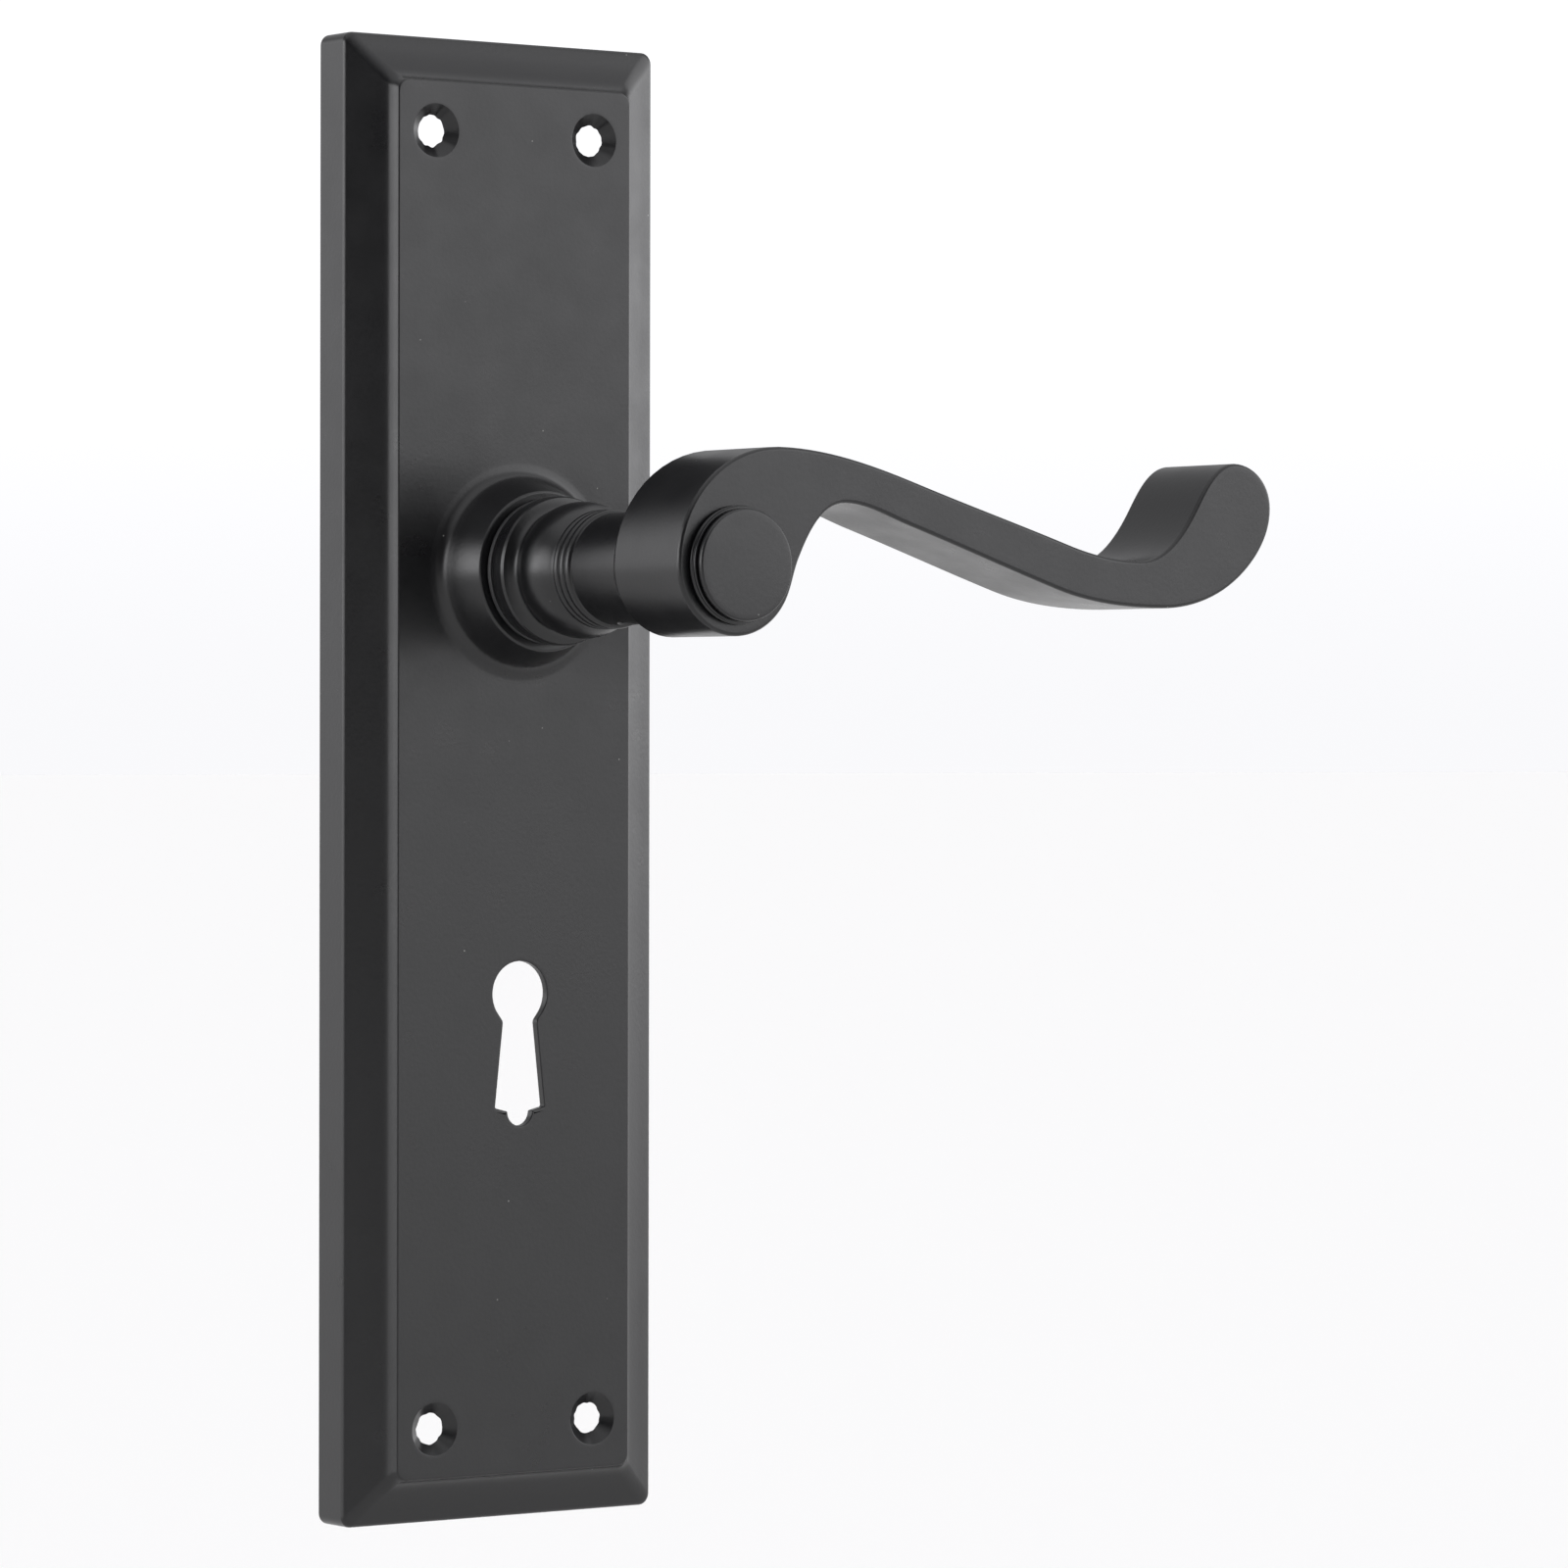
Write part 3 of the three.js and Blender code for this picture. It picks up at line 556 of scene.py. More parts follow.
def backplate():
    """One casting: bevelled outside, hollow back, boss, screw holes, keyhole and two posts."""
    skin = Skin()
    hollow = rounded([
        (8.4, PANEL_BACK),
        (7.4, PANEL_BACK, 0.7),
        (6.2, -6.9, 0.8),
        (1.6, -5, 0.8),
        (1.6, 0, 0.25),
    ])
    rim = rounded([(1.2, 0), (0, 0, 0.25), (0, -6.1, 0.7), (1.0, -6.45)])
    cove = spline([(1.0, -6.45), (2.8, -7.1), (4.5, -7.85), (5.35, -8.4), (5.85, -9.0), (6.1, -9.55)])
    arris = rounded([(6.1, -9.55), (6.25, PANEL_FRONT, 0.6), (7.2, PANEL_FRONT)])
    inside = skin.box(*PLATE_HALF, HOLLOW_CORNER, hollow, PLATE_CENTRE)
    outside = skin.box(*PLATE_HALF, PLATE_CORNER, rim + cove + arris, PLATE_CENTRE)
    skin.wall([inside[-1], outside[0]])

    boss = skin.lathe(boss_profile())
    holes = []
    for sx in (-1, 1):
        for sz in (-1, 1):
            x = PLATE_CENTRE[0] + sx * CORNER_SCREW["x"]
            z = PLATE_CENTRE[1] + sz * CORNER_SCREW["z"]
            holes.append(countersink(skin, (x, z)))
    slot = rounded([
        (0.5, PANEL_FRONT),
        (0, PANEL_FRONT, 0.16),
        (0, -8.85, 0.1),
        (0.2, PANEL_BACK, 0.1),
        (0.6, PANEL_BACK),
    ])
    holes.append(skin.edge(keyhole(), [(-d, y) for d, y in slot]))
    posts = []
    for side in (-1, 1):
        profile = rounded([
            (POST["radius"] + 0.6, PANEL_BACK),
            (POST["radius"], PANEL_BACK, 0.4),
            (POST["radius"], POST["end"], 0.2),
            (POST["thread"], POST["end"], 0.2),
            (POST["thread"], POST["thread_end"]),
        ])
        posts.append(skin.lathe(profile, (0, side * EAR_OFFSET), SMALL_SEGMENTS))
        skin.flat(posts[-1][-1])
    skin.flat(outside[-1], boss[0], *[hole[0] for hole in holes])
    skin.flat(inside[0], boss[-1], *[hole[-1] for hole in holes], *[post[0] for post in posts])
    settle(skin.build("plate_casting"), "backplate", BLACK)


def bearing_bush():
    """A sleeve that lines the boss, with a flange in front of it."""
    bore, sleeve, flange = 7.7, 8.8, bush_high.x
    flange_back = BOSS_FRONT - 0.3
    profile = rounded([
        (bore, bush_high.y, 0.2),
        (sleeve, bush_high.y, 0.2),
        (sleeve, flange_back, 0.1),
        (flange, flange_back, 0.15),
        (flange, bush_low.y, 0.15),
        (bore, bush_low.y, 0.1),
    ], closed=True)
    settle(lathed("bush", profile, closed=True), "bearing_bush", NYLON)


# ---- Shank, lever and button ---------------------------------------------------------------------

TAIL_FLAT = 6  # from the axis to each flat of the tail
TAIL_RADIUS = 7
NECK_RADIUS = 7.5
NECK_LINE = {"y": -43.05, "depth": 0.35}  # turned line just behind the arm
BEADS = {"count": 3, "pitch": 1.3, "first": -29.65, "radius": 7.53, "height": 0.42, "half_width": 0.55}
SOCKET_HALF = 4.2  # half the side of the square socket for the spindle
SPIGOT_HALF = 4.5  # half the side of the square that the arm sits on
GRUB_Y = -37.5
SCREW_SEAT = -54.5  # floor of the arm's counterbore


def shank_profile():
    """(radius, y) from the journal's back to the neck's end."""
    start = [(TAIL_RADIUS, -7.5), (7.6, -7.5, 0.1), (7.6, -17.5, 0.05)]
    ring = [(9.75, -17.5, 0.25), (10, -18.6, 0.6), (10.0, -20.0, 0.3), (9.8, -20.4, 0.2)]
    bell = spline([
        (9.35, -20.5), (8.75, -20.75), (8.38, -21.1), (8.3, -21.5), (8.5, -22.2), (8.88, -23.2),
        (9.12, -24.4), (9.13, -25.5), (8.98, -26.5), (8.65, -27.5), (8.15, -28.4), (7.7, -29.0),
    ], steps=4)
    beads = []
    for bead in range(BEADS["count"]):
        middle = BEADS["first"] - BEADS["pitch"] * bead
        for degrees in range(-70, 71, 10):
            a = math.radians(degrees)
            radius = BEADS["radius"] + BEADS["height"] * math.cos(a)
            beads.append((radius, middle - BEADS["half_width"] * math.sin(a)))
    line, depth = NECK_LINE["y"], NECK_LINE["depth"]
    neck = rounded([
        (7.5, -32.8),
        (7.36, -32.95, 0.1),
        (NECK_RADIUS, -33.2, 0.2),
        (NECK_RADIUS, line + depth, 0.1),
        (NECK_RADIUS - depth, line, 0.05),
        (NECK_RADIUS, line - depth, 0.1),
        (NECK_RADIUS, shank_end(), 0.3),
        (SPIGOT_HALF + 2.4, shank_end()),
    ])
    return rounded(start + ring) + bell + beads + neck


def shank_end():
    """Where the neck stops, just behind the arm."""
    return arm_high.y + 0.3


def shank():
    """The turned body with its spindle socket, square spigot and tapped nose, then its cuts."""
    skin = Skin()
    tail = rounded([
        (TAIL_RADIUS - 0.6, shank_high.y),
        (TAIL_RADIUS, shank_high.y, 0.2),
        (TAIL_RADIUS, -0.5),
        (6.4, -0.5),
        (6.4, -1.7),
        (TAIL_RADIUS, -1.7),
    ])
    rings = skin.lathe(tail + shank_profile())
    socket = skin.box(SOCKET_HALF, SOCKET_HALF, 0.25, rounded([
        (-0.5, shank_high.y), (0, shank_high.y, 0.2), (0, spindle_low.y - 0.5),
    ]))
    skin.flat(rings[0], socket[0])
    skin.flat(socket[-1])
    spigot = skin.box(SPIGOT_HALF, SPIGOT_HALF, 0.3, rounded([
        (-0.1, shank_end()), (0, shank_end(), 0.05), (0, shank_low.y, 0.3), (0.6, shank_low.y),
    ]))
    thread = skin.lathe(rounded([(2.6, shank_low.y), (2.3, shank_low.y, 0.2), (2.3, -44)]),
                        segments=SMALL_SEGMENTS)
    skin.flat(rings[-1], spigot[0])
    skin.flat(spigot[-1], thread[0])
    skin.flat(thread[-1])
    body = skin.build("turned_shank")
    half_cut, flat_end = 4, -7.4
    for side in (-1, 1):
        middle = (side * (TAIL_FLAT + half_cut), 0)
        carve(body, bar("flat", half_cut, 9, 1, flat_end, 0.1, middle))
    hole, mouth = 2.5, 3.1
    drill = lathed("drill", [(hole, 3), (hole, 7.1), (mouth, 7.9), (mouth, 9)], segments=SMALL_SEGMENTS)
    stand_under_neck(drill)
    settle(carve(body, drill), "shank", BLACK)


def stand_under_neck(piece):
    """Turns a piece made along +Y so that it points down, at the grub screw's place."""
    turn = Matrix.Rotation(-math.pi / 2, 4, "X")
    piece.data.transform(Matrix.Translation((0, GRUB_Y * MM, 0)) @ turn)


def hexagon(radius):
    return circle(radius, segments=6)


def grub_screw():
    """A screw with a hexagon socket, under the neck."""
    low, high = node_box("grub_screw")
    profile = rounded([(1.6, -high.z), (2.2, -high.z, 0.4), (2.2, -low.z, 0.3), (1.8, -low.z)])
    screw = lathed("grub", profile, segments=SMALL_SEGMENTS)
    key = Skin()
    rings = [key.ring(hexagon(1.4), y) for y in (-low.z - 1.5, -low.z + 1)]
    key.wall(rings)
    key.flat(rings[0])
    key.flat(rings[1])
    carve(screw, key.build("hex_key"))
    stand_under_neck(screw)
    settle(screw, "grub_screw", DARK)


# The scroll's driving dimensions, with places as (x, z) and headings in degrees from +X. The hub is
# round about the lever's axis, and the bar is straight and grows a little thicker towards the curl.
HUB_RADIUS = 9.2
HUB_FLANK = ((10.1, 1), -115)
CREST = (7, 15.5)
ARCH = (17.8, 8.4)
BAR_START = Vector((29, 8.4))
START_THICKNESS = 5.7
BAR_END = Vector((54, 0.6))
END_THICKNESS = 6.3
CURL = {
    "hollow": (67, 1.6),
    "flank": ((77, 9.4), 59),
    "tip": (83.8, 15.2),
    "end": (arm_high.x, 9.2),
    "heel": ((85.5, 0.5), -138),
    "foot": (71, -4.7),
}


def scroll_corners():
    """Corners of the scroll and their headings, clockwise from the left of the hub."""
    along = (BAR_END - BAR_START).normalized()
    across = Vector((-along.y, along.x)) / 2
    slope = math.degrees(math.atan2(along.y, along.x))

    def on_hub(angle):
        a = math.radians(angle)
        return (HUB_RADIUS * math.cos(a), HUB_RADIUS * math.sin(a)), angle - 90

    return [
        on_hub(180),
        (CREST, 0),
        (BAR_START + across * START_THICKNESS, slope),
        (BAR_END + across * END_THICKNESS, slope),
        (CURL["hollow"], 0),
        CURL["flank"],
        (CURL["tip"], 0),
        (CURL["end"], -90),
        CURL["heel"],
        (CURL["foot"], 180),
        (BAR_END - across * END_THICKNESS, slope + 180),
        (BAR_START - across * START_THICKNESS, slope + 180),
        (ARCH, 180),
        HUB_FLANK,
        on_hub(-30),
        on_hub(-90),
    ]


def scroll(steps=14):
    """Anticlockwise outline, with the curve nearest to an arc between each pair of corners."""
    corners = scroll_corners()
    path = []
    for i, (start, start_heading) in enumerate(corners):
        end, end_heading = corners[(i + 1) % len(corners)]
        a, d = Vector(start), Vector(end)
        turn = math.radians(end_heading - start_heading)
        half_turn = math.atan2(math.sin(turn), math.cos(turn)) / 2
        reach = (d - a).length / (3 * math.cos(half_turn / 2) ** 2)
        b = a + Matrix.Rotation(math.radians(start_heading), 2) @ Vector((reach, 0))
        c = d - Matrix.Rotation(math.radians(end_heading), 2) @ Vector((reach, 0))
        for k in range(steps):
            t = k / steps
            u = 1 - t
            path.append(tuple(u ** 3 * a + 3 * u * u * t * b + 3 * u * t * t * c + t ** 3 * d))
    return path[::-1]


def lever_arm():
    """The scroll at one even depth, with the spigot's socket behind and the counterbore in front."""
    back, front = arm_high.y, arm_low.y
    skin = Skin()
    path = rounded([(1.2, back), (0, back, 1.0), (0, front, 0.5), (1.2, front)])
    outside = skin.edge(scroll(), path)
    socket_half = SPIGOT_HALF + 0.3
    socket_floor = shank_low.y - 0.3
    socket = skin.box(socket_half, socket_half, 0.4, rounded([
        (-0.4, back), (0, back, 0.2), (0, socket_floor),
    ]))
    hole = skin.lathe(rounded([(2.6, socket_floor), (2.6, SCREW_SEAT, 0.15), (3.0, SCREW_SEAT)]),
                      segments=SMALL_SEGMENTS)
    counterbore = skin.lathe(rounded([(5.2, SCREW_SEAT), (5.2, front, 0.2), (5.6, front)]))
    skin.flat(outside[0], socket[0])
    skin.flat(socket[-1], hole[0])
    skin.flat(hole[-1], counterbore[0])
    skin.flat(counterbore[-1], outside[-1])
    settle(skin.build("scroll_lever"), "lever_arm", BLACK)


def button_step():
    """A stepped ring with a fine groove round it."""
    back = arm_low.y - 0.3
    profile = rounded([
        (2.5, -58.9, 0.1),
        (4.8, -58.9, 0.2),
        (4.8, back, 0.05),
        (7.72, back, 0.12),
        (7.72, -60.72, 0.12),
        (7.5, -60.86, 0.05),
        (7.5, -60.98, 0.05),
        (7.62, -61.1, 0.08),
        (7.62, step_low.y, 0.16),
        (2.5, step_low.y, 0.1),
    ], closed=True)
    settle(lathed("step_ring", profile, closed=True), "button_step", BLACK)


def button_cap():
    """A round cap with a slightly crowned face."""
    front, radius = cap_low.y, 7.3
    face = [(radius * math.sqrt(share), front + 0.1 * share) for share in (0.75, 0.5, 0.3, 0.12, 0.03)]
    profile = rounded([
        (1.8, -59.5),
        (2.1, -59.5, 0.2),
        (2.1, -61.75, 0.1),
        (radius, -61.75, 0.1),
        (radius, front + 0.1, 0.5),
        *face,
    ])
    settle(lathed("cap", profile), "button_cap", BLACK)


def hub_fixing():
    """The screw that clamps the arm, and its washer."""
    low, high = node_box("hub_screw")
    seat = -55.7
    profile = rounded([
        (1.6, high.y),
        (2, high.y, 0.3),
        (2, seat, 0.1),
        (3.5, seat, 0.1),
        (3.5, low.y, 0.3),
        (3.0, low.y),
    ])
    screw = lathed("cap_screw", profile, segments=SMALL_SEGMENTS)
    key = Skin()
    rings = [key.ring(hexagon(1.7), y) for y in (low.y + 1.5, low.y - 1)]
    key.wall(rings)
    key.flat(rings[0])
    key.flat(rings[1])
    settle(carve(screw, key.build("hex_key")), "hub_screw", DARK)
    washer = ring_profile(2.4, 4.6, -54.8, -55.4, 0.12)
    settle(lathed("clamp_washer", washer, segments=SMALL_SEGMENTS, closed=True), "hub_washer", PLATED)


def spindle():
    """A square bar with chamfered ends."""
    half = spindle_high.x
    back, front = spindle_high.y, spindle_low.y
    path = [(1.2, back), (0.6, back), (0, back - 0.6), (0, front + 0.6), (0.6, front), (1.2, front)]
    skin = Skin()
    rings = skin.box(half, half, 0.35, rounded([(*p, 0.15) for p in path]))
    skin.flat(rings[0])
    skin.flat(rings[-1])
    settle(skin.build("square_bar"), "spindle", BRIGHT)


# ---- Spring cassette -----------------------------------------------------------------------------

CASSETTE_RADIUS = 15.2
EAR = {"radius": 3.4, "hole": 1.7}
FIXED_LEG, MOVING_LEG = 225, 315  # directions of the spring's legs, in degrees from +X
# The clip's radii, and half of its gap at the bottom and how far its eyes are past it, in degrees.
CLIP = {"inner": 6.7, "outer": 8.6, "half_gap": 22, "eye_turn": 4, "eye": 1.5, "hole": 0.7}


def eared(radius):
    """A round plate with an ear above and below."""
    spread = math.degrees(math.asin(EAR["radius"] / radius))
    points = []
    for side in (1, -1):
        turn = 0 if side == 1 else 180
        points += arc(radius, turn + spread - 90, turn + 90 - spread)
        points += arc(EAR["radius"], turn, turn + 180, (0, side * EAR_OFFSET), step=8)
    return points


def ear_holes():
    return [circle(EAR["hole"], (0, side * EAR_OFFSET), SMALL_SEGMENTS) for side in (1, -1)]


def turned_bar(name, angle, reach, half_width, back, front):
    """A bar along a radius of the cassette, as a cutting tool."""
    tool = bar(name, (reach[1] - reach[0]) / 2, half_width, back, front, 0.02,
               centre=((reach[0] + reach[1]) / 2, 0))
    tool.data.transform(Matrix.Rotation(-math.radians(angle), 4, "Y"))
    return tool


def spring_housing():
    """A pressed cup with two ears, slotted for the spring's fixed leg."""
    radius, rim, floor = CASSETTE_RADIUS, housing_high.y, housing_low.y
    opening, inside, floor_top = 9.8, radius - 1.5, floor + 0.8
    profile = rounded([
        (opening, floor, 0.15),
        (radius, floor, 1.1),
        (radius, rim, 0.15),
        (inside, rim, 0.15),
        (inside, floor_top, 0.4),
        (opening, floor_top, 0.15),
    ], closed=True)
    cup = lathed("cassette_cup", profile, closed=True)
    holes = [circle(radius - 0.75), *ear_holes()]
    ears = stamped("ears", eared(radius), holes, rim - 0.01, rim - 1.4, 0.12)
    carve(cup, ears, "UNION")
    carve(cup, turned_bar("slot", FIXED_LEG, (12, 18), 1.1, rim + 1, floor_top))
    settle(cup, "spring_housing", PLATED)


def sector(inner, outer, start, end):
    """Part of a ring between two angles in degrees."""
    return arc(outer, start, end, step=3) + arc(inner, end, start, step=3)


def cover_plate():
    """Its opening is the tail's clearance hole and the stop lug's window in one."""
    window, clearance, first, last = 9.9, 7.5, 24, 106
    opening = rounded([
        *arc(window, first, last, step=3),
        *arc(clearance, last, first + 360, step=4),
    ], closed=True)
    holes = [opening, *ear_holes()]
    plate = stamped("cassette_cover", eared(CASSETTE_RADIUS), holes, cover_high.y, cover_low.y, 0.12)
    settle(plate, "cover_plate", PLATED)


def spring_driver():
    """A collar with a two-flat hole, its stop lug and the slot for the spring's moving leg."""
    rim = housing_high.y
    flat, bore, outside = 6.3, 7.2, 9.4
    hole = [(max(-flat, min(flat, x)), z) for x, z in circle(bore)]
    collar = stamped("driver_collar", circle(outside), [hole], rim, driver_low.y, 0.15)
    lug = stamped("lug", sector(7.7, 9.3, 75, 105), [], cover_high.y - 0.1, rim - 1, 0.1)
    carve(collar, lug, "UNION")
    carve(collar, turned_bar("slot", MOVING_LEG, (8, 11), 0.95, rim + 1, driver_low.y - 1))
    settle(collar, "spring_driver", DARK)


def spring_path():
    """Centre line of the wire, from the fixed leg to the moving one, and its angle and height."""
    radius, front, back, sweep, bend = 11.6, -6.6, -4.3, 630, 9

    def polar(r, angle, y):
        a = math.radians(angle)
        return Vector((r * math.cos(a), y, r * math.sin(a)))

    points = [polar(r, FIXED_LEG, front) for r in (14.9, 14.2, 13.4, 12.7)]
    points.append(polar(radius + 0.35, FIXED_LEG - 2, front))
    turns = 130
    for i in range(turns + 1):
        share = i / turns
        angle = FIXED_LEG - bend - share * (sweep - 2 * bend)
        points.append(polar(radius, angle, front + share * (back - front)))
    points.append(polar(radius - 0.35, MOVING_LEG + 2, back))
    points += [polar(r, MOVING_LEG, back) for r in (10.7, 10, 9.2, 8.4)]
    legs = 5
    shares = [0] * legs + [i / turns for i in range(turns + 1)] + [1] * legs
    return points, shares


def return_spring():
    """The wire, swept along its path. Each section of it turns as one as the spring winds up."""
    points, shares = spring_path()
    sides, wire_radius = 16, 0.65
    skin = Skin()
    rings = []
    across = Vector((0, 1, 0))
    for i, point in enumerate(points):
        along = (points[min(i + 1, len(points) - 1)] - points[max(i - 1, 0)]).normalized()
        up = (across - along * across.dot(along)).normalized()
        side = along.cross(up)
        first = len(skin.points)
        for k in range(sides):
            a = TAU * k / sides
            skin.points.append(tuple(point + wire_radius * (math.cos(a) * side + math.sin(a) * up)))
        rings.append(list(range(first, first + sides)))
    skin.wall(rings)
    skin.flat(rings[0])
    skin.flat(rings[-1])
    piece = skin.build("torsion_spring")
    shade(piece)
    piece.data.materials.append(SPRING)
    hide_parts("return_spring")
    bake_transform(piece, "plate", "lever", start=points[0] * MM, end=points[-1] * MM)
    weights = piece.data.attributes["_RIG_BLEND"].data
    for section, share in enumerate(shares):
        for k in range(sides):
            weights[section * sides + k].value = share


def retaining_ring():
    """The washer behind the cassette, and the clip in the tail's groove that holds it."""
    washer = ring_profile(7.2, 11, -1.8, -2.2, 0.08)
    settle(lathed("retainer", washer, closed=True), "retaining_washer", PLATED)
    clip = stamped("clip", clip_outline(), clip_eyes(), -0.7, -1.5, 0.08)
    settle(clip, "circlip", SPRING)


def clip_eye(side):
    """Middle of the eye on one side of the gap."""
    a = math.radians(side * (CLIP["half_gap"] + CLIP["eye_turn"]) - 90)
    return CLIP["outer"] * math.cos(a), CLIP["outer"] * math.sin(a)


def clip_eyes():
    return [circle(CLIP["hole"], clip_eye(side), 24) for side in (-1, 1)]


def clip_outline():
    """An open ring whose ends swell into eyes, anticlockwise."""
    # Where each edge of the ring meets its eye, in degrees from the bottom.
    inner_end, outer_end = CLIP["half_gap"] + 2, CLIP["half_gap"] + 16
    points = arc(CLIP["outer"], outer_end - 90, 270 - outer_end, step=3)
    points += arc(CLIP["eye"], 200, 360, clip_eye(-1), step=12)
    points += arc(CLIP["inner"], 270 - inner_end, inner_end - 90, step=3)
    points += arc(CLIP["eye"], 180, 340, clip_eye(1), step=12)
    return points


def cassette_screw(side, node):
    """A screw with a domed head and a cross recess."""
    centre = (0, side * EAR_OFFSET)
    low, high = node_box(node)
    seat, crown = -1.6, high.y - 0.75
    profile = rounded([
        (1.2, high.y),
        (1.9, high.y - 0.06, 0.6),
        (2.6, crown, 0.4),
        (2.6, seat, 0.12),
        (1.3, seat, 0.1),
        (1.3, low.y, 0.3),
        (0.9, low.y),
    ])
    screw = lathed(node + "_body", profile, centre, SMALL_SEGMENTS)
    slot = (1.45, 0.33)
    for half_x, half_z in (slot, slot[::-1]):
        carve(screw, bar("cross", half_x, half_z, high.y + 1, crown, 0.05, centre))
    settle(screw, node, PLATED)


def lock_washer(side, node):
    """A ring under a cassette screw's head."""
    profile = ring_profile(1.6, 2.9, -1.9, -2.2, 0.06)
    piece = lathed(node + "_ring", profile, (0, side * EAR_OFFSET), SMALL_SEGMENTS, closed=True)
    settle(piece, node, PLATED)


# ---- Studio --------------------------------------------------------------------------------------

SURROUND = 0.3  # brightness of what lights the handle, between the soft areas
DARKEST = 0.01  # least brightness anywhere
# Each is azimuth, elevation, full and zero angle in degrees, and how much it adds or takes away.
SOFT_AREAS = {
    "front_right_box": (52, 0, 24, 42, 2.35),
    "right_box": (88, -24, 24, 50, 2.2),
    "left_box": (-95, -8, 22, 44, 4.0),
    "left_rear_box": (-136, -4, 20, 40, 1.2),
    "rear_high_box": (180, 35, 25, 50, 0.3),
    "overhead_box": (20, 74, 28, 62, 0.9),
    "dark_behind_camera": (-18, 0, 26, 46, -0.4),
}
BACKDROP = 1.1  # least brightness that the camera sees behind the handle
HORIZON = 0.96  # the same at the horizon and below it
HORIZON_FADE = 6  # degrees over which one becomes the other
LIGHT_TINT = (0.99, 0.99, 1.01)
# The floor is in metres, as the frame's boxes are.
FLOOR = {"drop": 0.1, "half": 30, "colour": (0.93, 0.925, 0.915)}


def direction(azimuth, elevation):
    """Unit vector towards a place round the object: azimuth 0 is out of the door, 90 is +X."""
    a, e = math.radians(azimuth), math.radians(elevation)
    return Vector((math.sin(a) * math.cos(e), -math.cos(a) * math.cos(e), math.sin(e)))


def studio_world():
    """Soft bright and dark areas on a dim surround, and an even white backdrop for the camera."""
    world = bpy.data.worlds.new("studio")
    bpy.context.scene.world = world
    world.use_nodes = True
    tree = world.node_tree
    background = tree.nodes["Background"]
    place = tree.nodes.new("ShaderNodeTexCoord").outputs["Generated"]

    def maths(operation, *values):
        made = tree.nodes.new("ShaderNodeMath")
        made.operation = operation
        for socket, value in zip(made.inputs, values):
            if isinstance(value, (int, float)):
                socket.default_value = value
            else:
                tree.links.new(value, socket)
        return made.outputs[0]

    def lobe(azimuth, elevation, inner, outer):
        """1 within inner degrees of a direction, falling to 0 at outer degrees."""
        dot = tree.nodes.new("ShaderNodeVectorMath")
        dot.operation = "DOT_PRODUCT"
        tree.links.new(place, dot.inputs[0])
        dot.inputs[1].default_value = direction(azimuth, elevation)
        smooth = tree.nodes.new("ShaderNodeMapRange")
        smooth.interpolation_type = "SMOOTHSTEP"
        smooth.inputs["From Min"].default_value = math.cos(math.radians(outer))
        smooth.inputs["From Max"].default_value = math.cos(math.radians(inner))
        tree.links.new(dot.outputs["Value"], smooth.inputs["Value"])
        return smooth.outputs["Result"]

    light = SURROUND
    for azimuth, elevation, inner, outer, amount in SOFT_AREAS.values():
        light = maths("ADD", light, maths("MULTIPLY", lobe(azimuth, elevation, inner, outer), amount))
    light = maths("MAXIMUM", light, DARKEST)
    height = tree.nodes.new("ShaderNodeSeparateXYZ")
    tree.links.new(place, height.inputs[0])
    backdrop = tree.nodes.new("ShaderNodeMapRange")
    backdrop.interpolation_type = "SMOOTHSTEP"
    backdrop.inputs["From Max"].default_value = math.sin(math.radians(HORIZON_FADE))
    backdrop.inputs["To Min"].default_value = HORIZON
    backdrop.inputs["To Max"].default_value = BACKDROP
    tree.links.new(height.outputs["Z"], backdrop.inputs["Value"])
    seen = tree.nodes.new("ShaderNodeLightPath").outputs["Is Camera Ray"]
    seen_backdrop = maths("MULTIPLY", seen, backdrop.outputs["Result"])
    tree.links.new(maths("MAXIMUM", light, seen_backdrop), background.inputs["Strength"])
    background.inputs["Color"].default_value = (*LIGHT_TINT, 1)


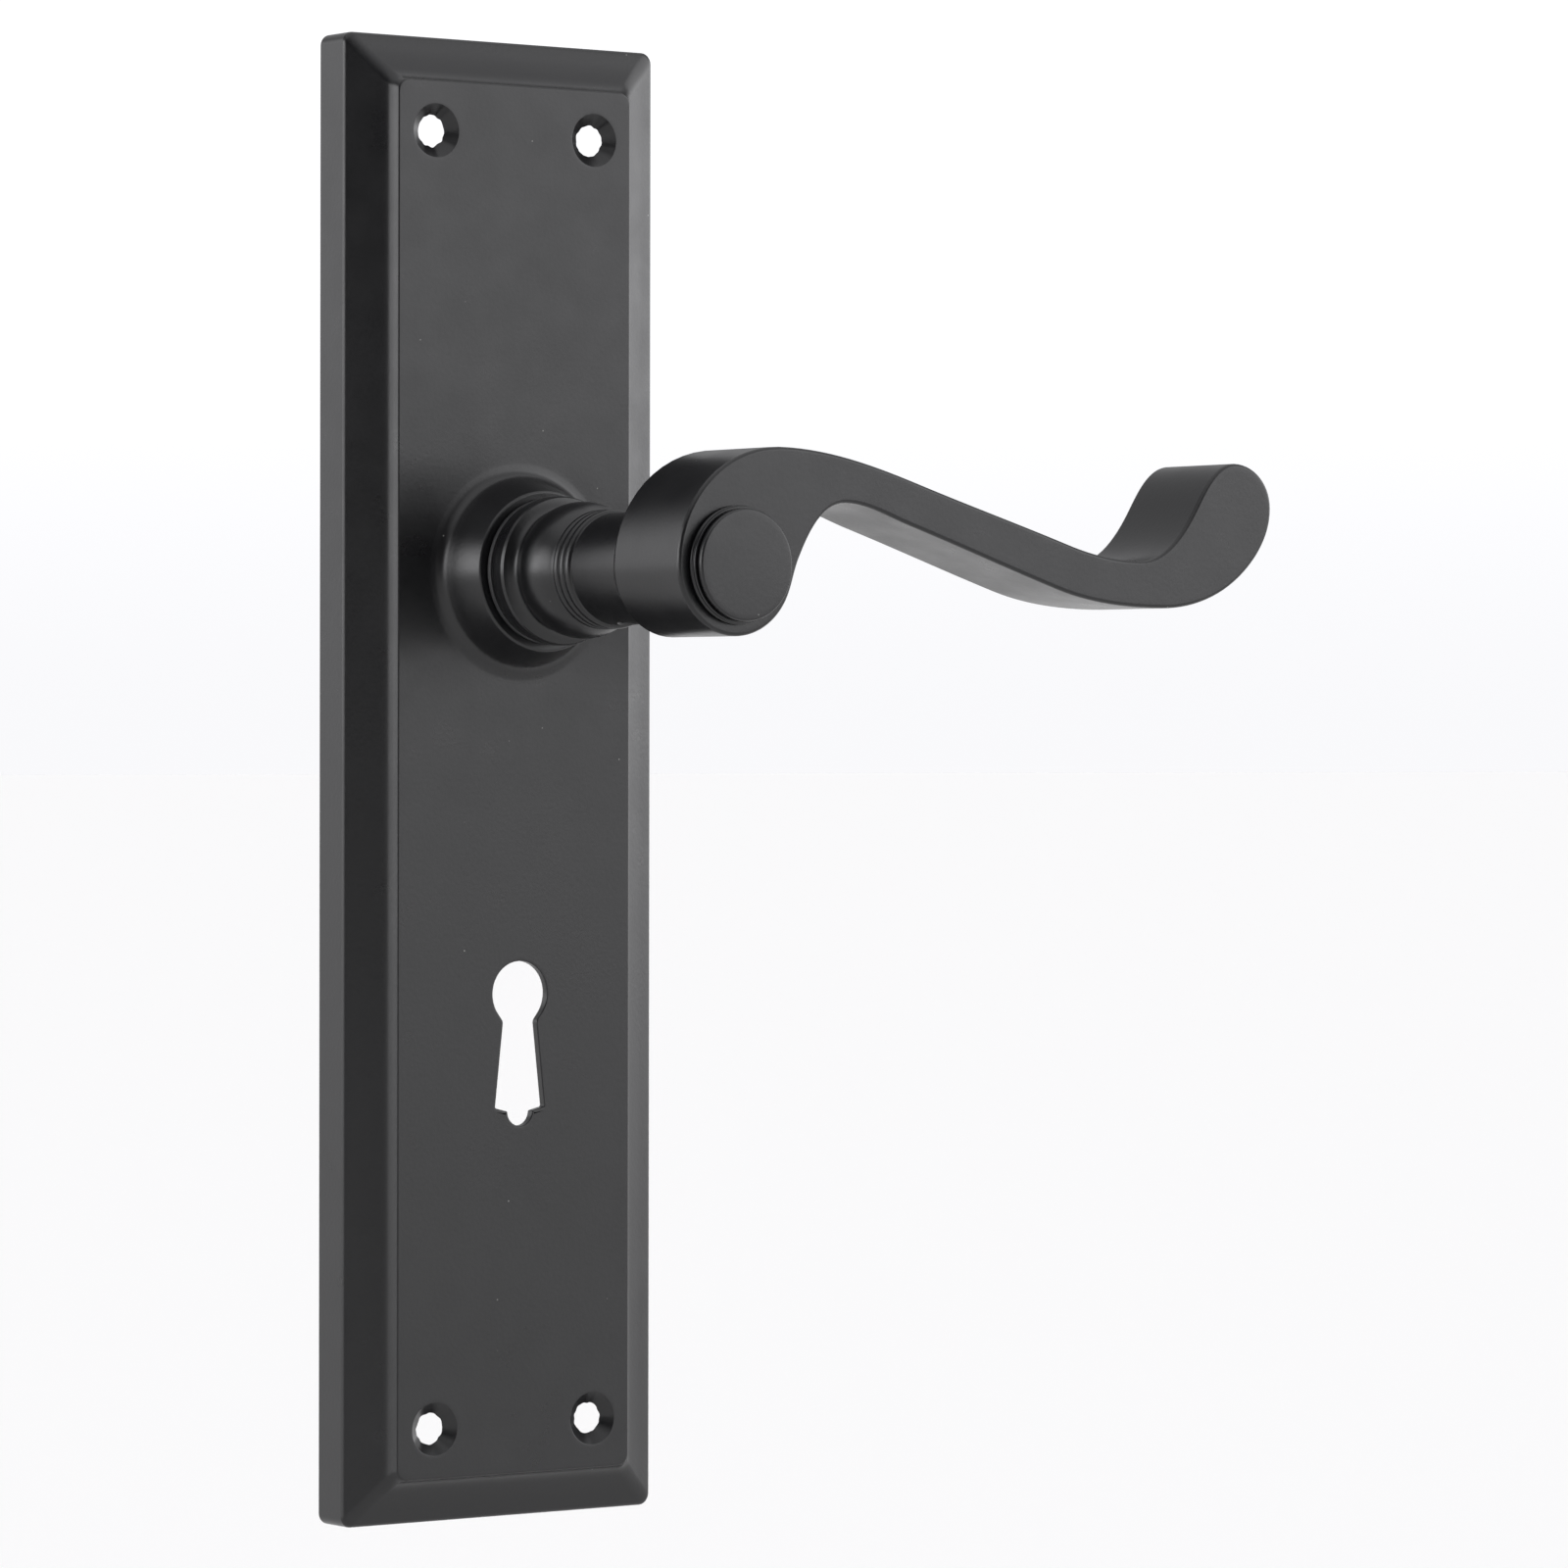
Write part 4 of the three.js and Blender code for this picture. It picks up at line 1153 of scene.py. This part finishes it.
def pale_floor():
    """A plain pale floor below the handle."""
    half = FLOOR["half"]
    z = cad_low.z - FLOOR["drop"]
    mesh = bpy.data.meshes.new("floor")
    corners = [(-half, -half, z), (half, -half, z), (half, half, z), (-half, half, z)]
    mesh.from_pydata(corners, [], [(0, 1, 2, 3)])
    floor = bpy.data.objects.new("floor", mesh)
    bpy.context.scene.collection.objects.link(floor)
    material = bpy.data.materials.new("floor")
    material.use_nodes = True
    shader = material.node_tree.nodes["Principled BSDF"]
    shader.inputs["Base Color"].default_value = (*FLOOR["colour"], 1)
    shader.inputs["Roughness"].default_value = 0.9
    shader.inputs["Specular IOR Level"].default_value = 0.2
    mesh.materials.append(material)


def camera():
    """A long lens looking at the handle's front from its left, almost level."""
    azimuth, elevation, roll = -36, 0.4, -0.1
    distance, aside, above = 925, 42.2, -0.6  # from the plate's middle
    lens, sensor = 155.7, 36
    back = direction(azimuth, elevation)
    right = (-back).cross(Vector((0, 0, 1))).normalized()
    up = right.cross(-back)
    tilt = Matrix.Rotation(-math.radians(roll), 3, back)
    right, up = tilt @ right, tilt @ up
    target = Vector((PLATE_CENTRE[0], 0, PLATE_CENTRE[1]))
    place = (target + back * distance + right * aside + up * above) * MM
    made = bpy.data.objects.new("camera", bpy.data.cameras.new("camera"))
    bpy.context.scene.collection.objects.link(made)
    made.matrix_world = Matrix.Translation(place) @ Matrix((right, up, back)).transposed().to_4x4()
    made.data.sensor_width = sensor
    made.data.lens = lens
    made.data.clip_start, made.data.clip_end = 0.05, 100
    bpy.context.scene.camera = made


# ---- Assembly ------------------------------------------------------------------------------------

backplate()
bearing_bush()
shank()
grub_screw()
lever_arm()
button_step()
button_cap()
hub_fixing()
spindle()
spring_housing()
cover_plate()
spring_driver()
return_spring()
retaining_ring()
for side, place in ((1, "upper"), (-1, "lower")):
    cassette_screw(side, f"cassette_screw_{place}")
    lock_washer(side, f"lock_washer_{place}")

studio_world()
pale_floor()
camera()
bpy.context.scene.view_settings.view_transform = "Standard"
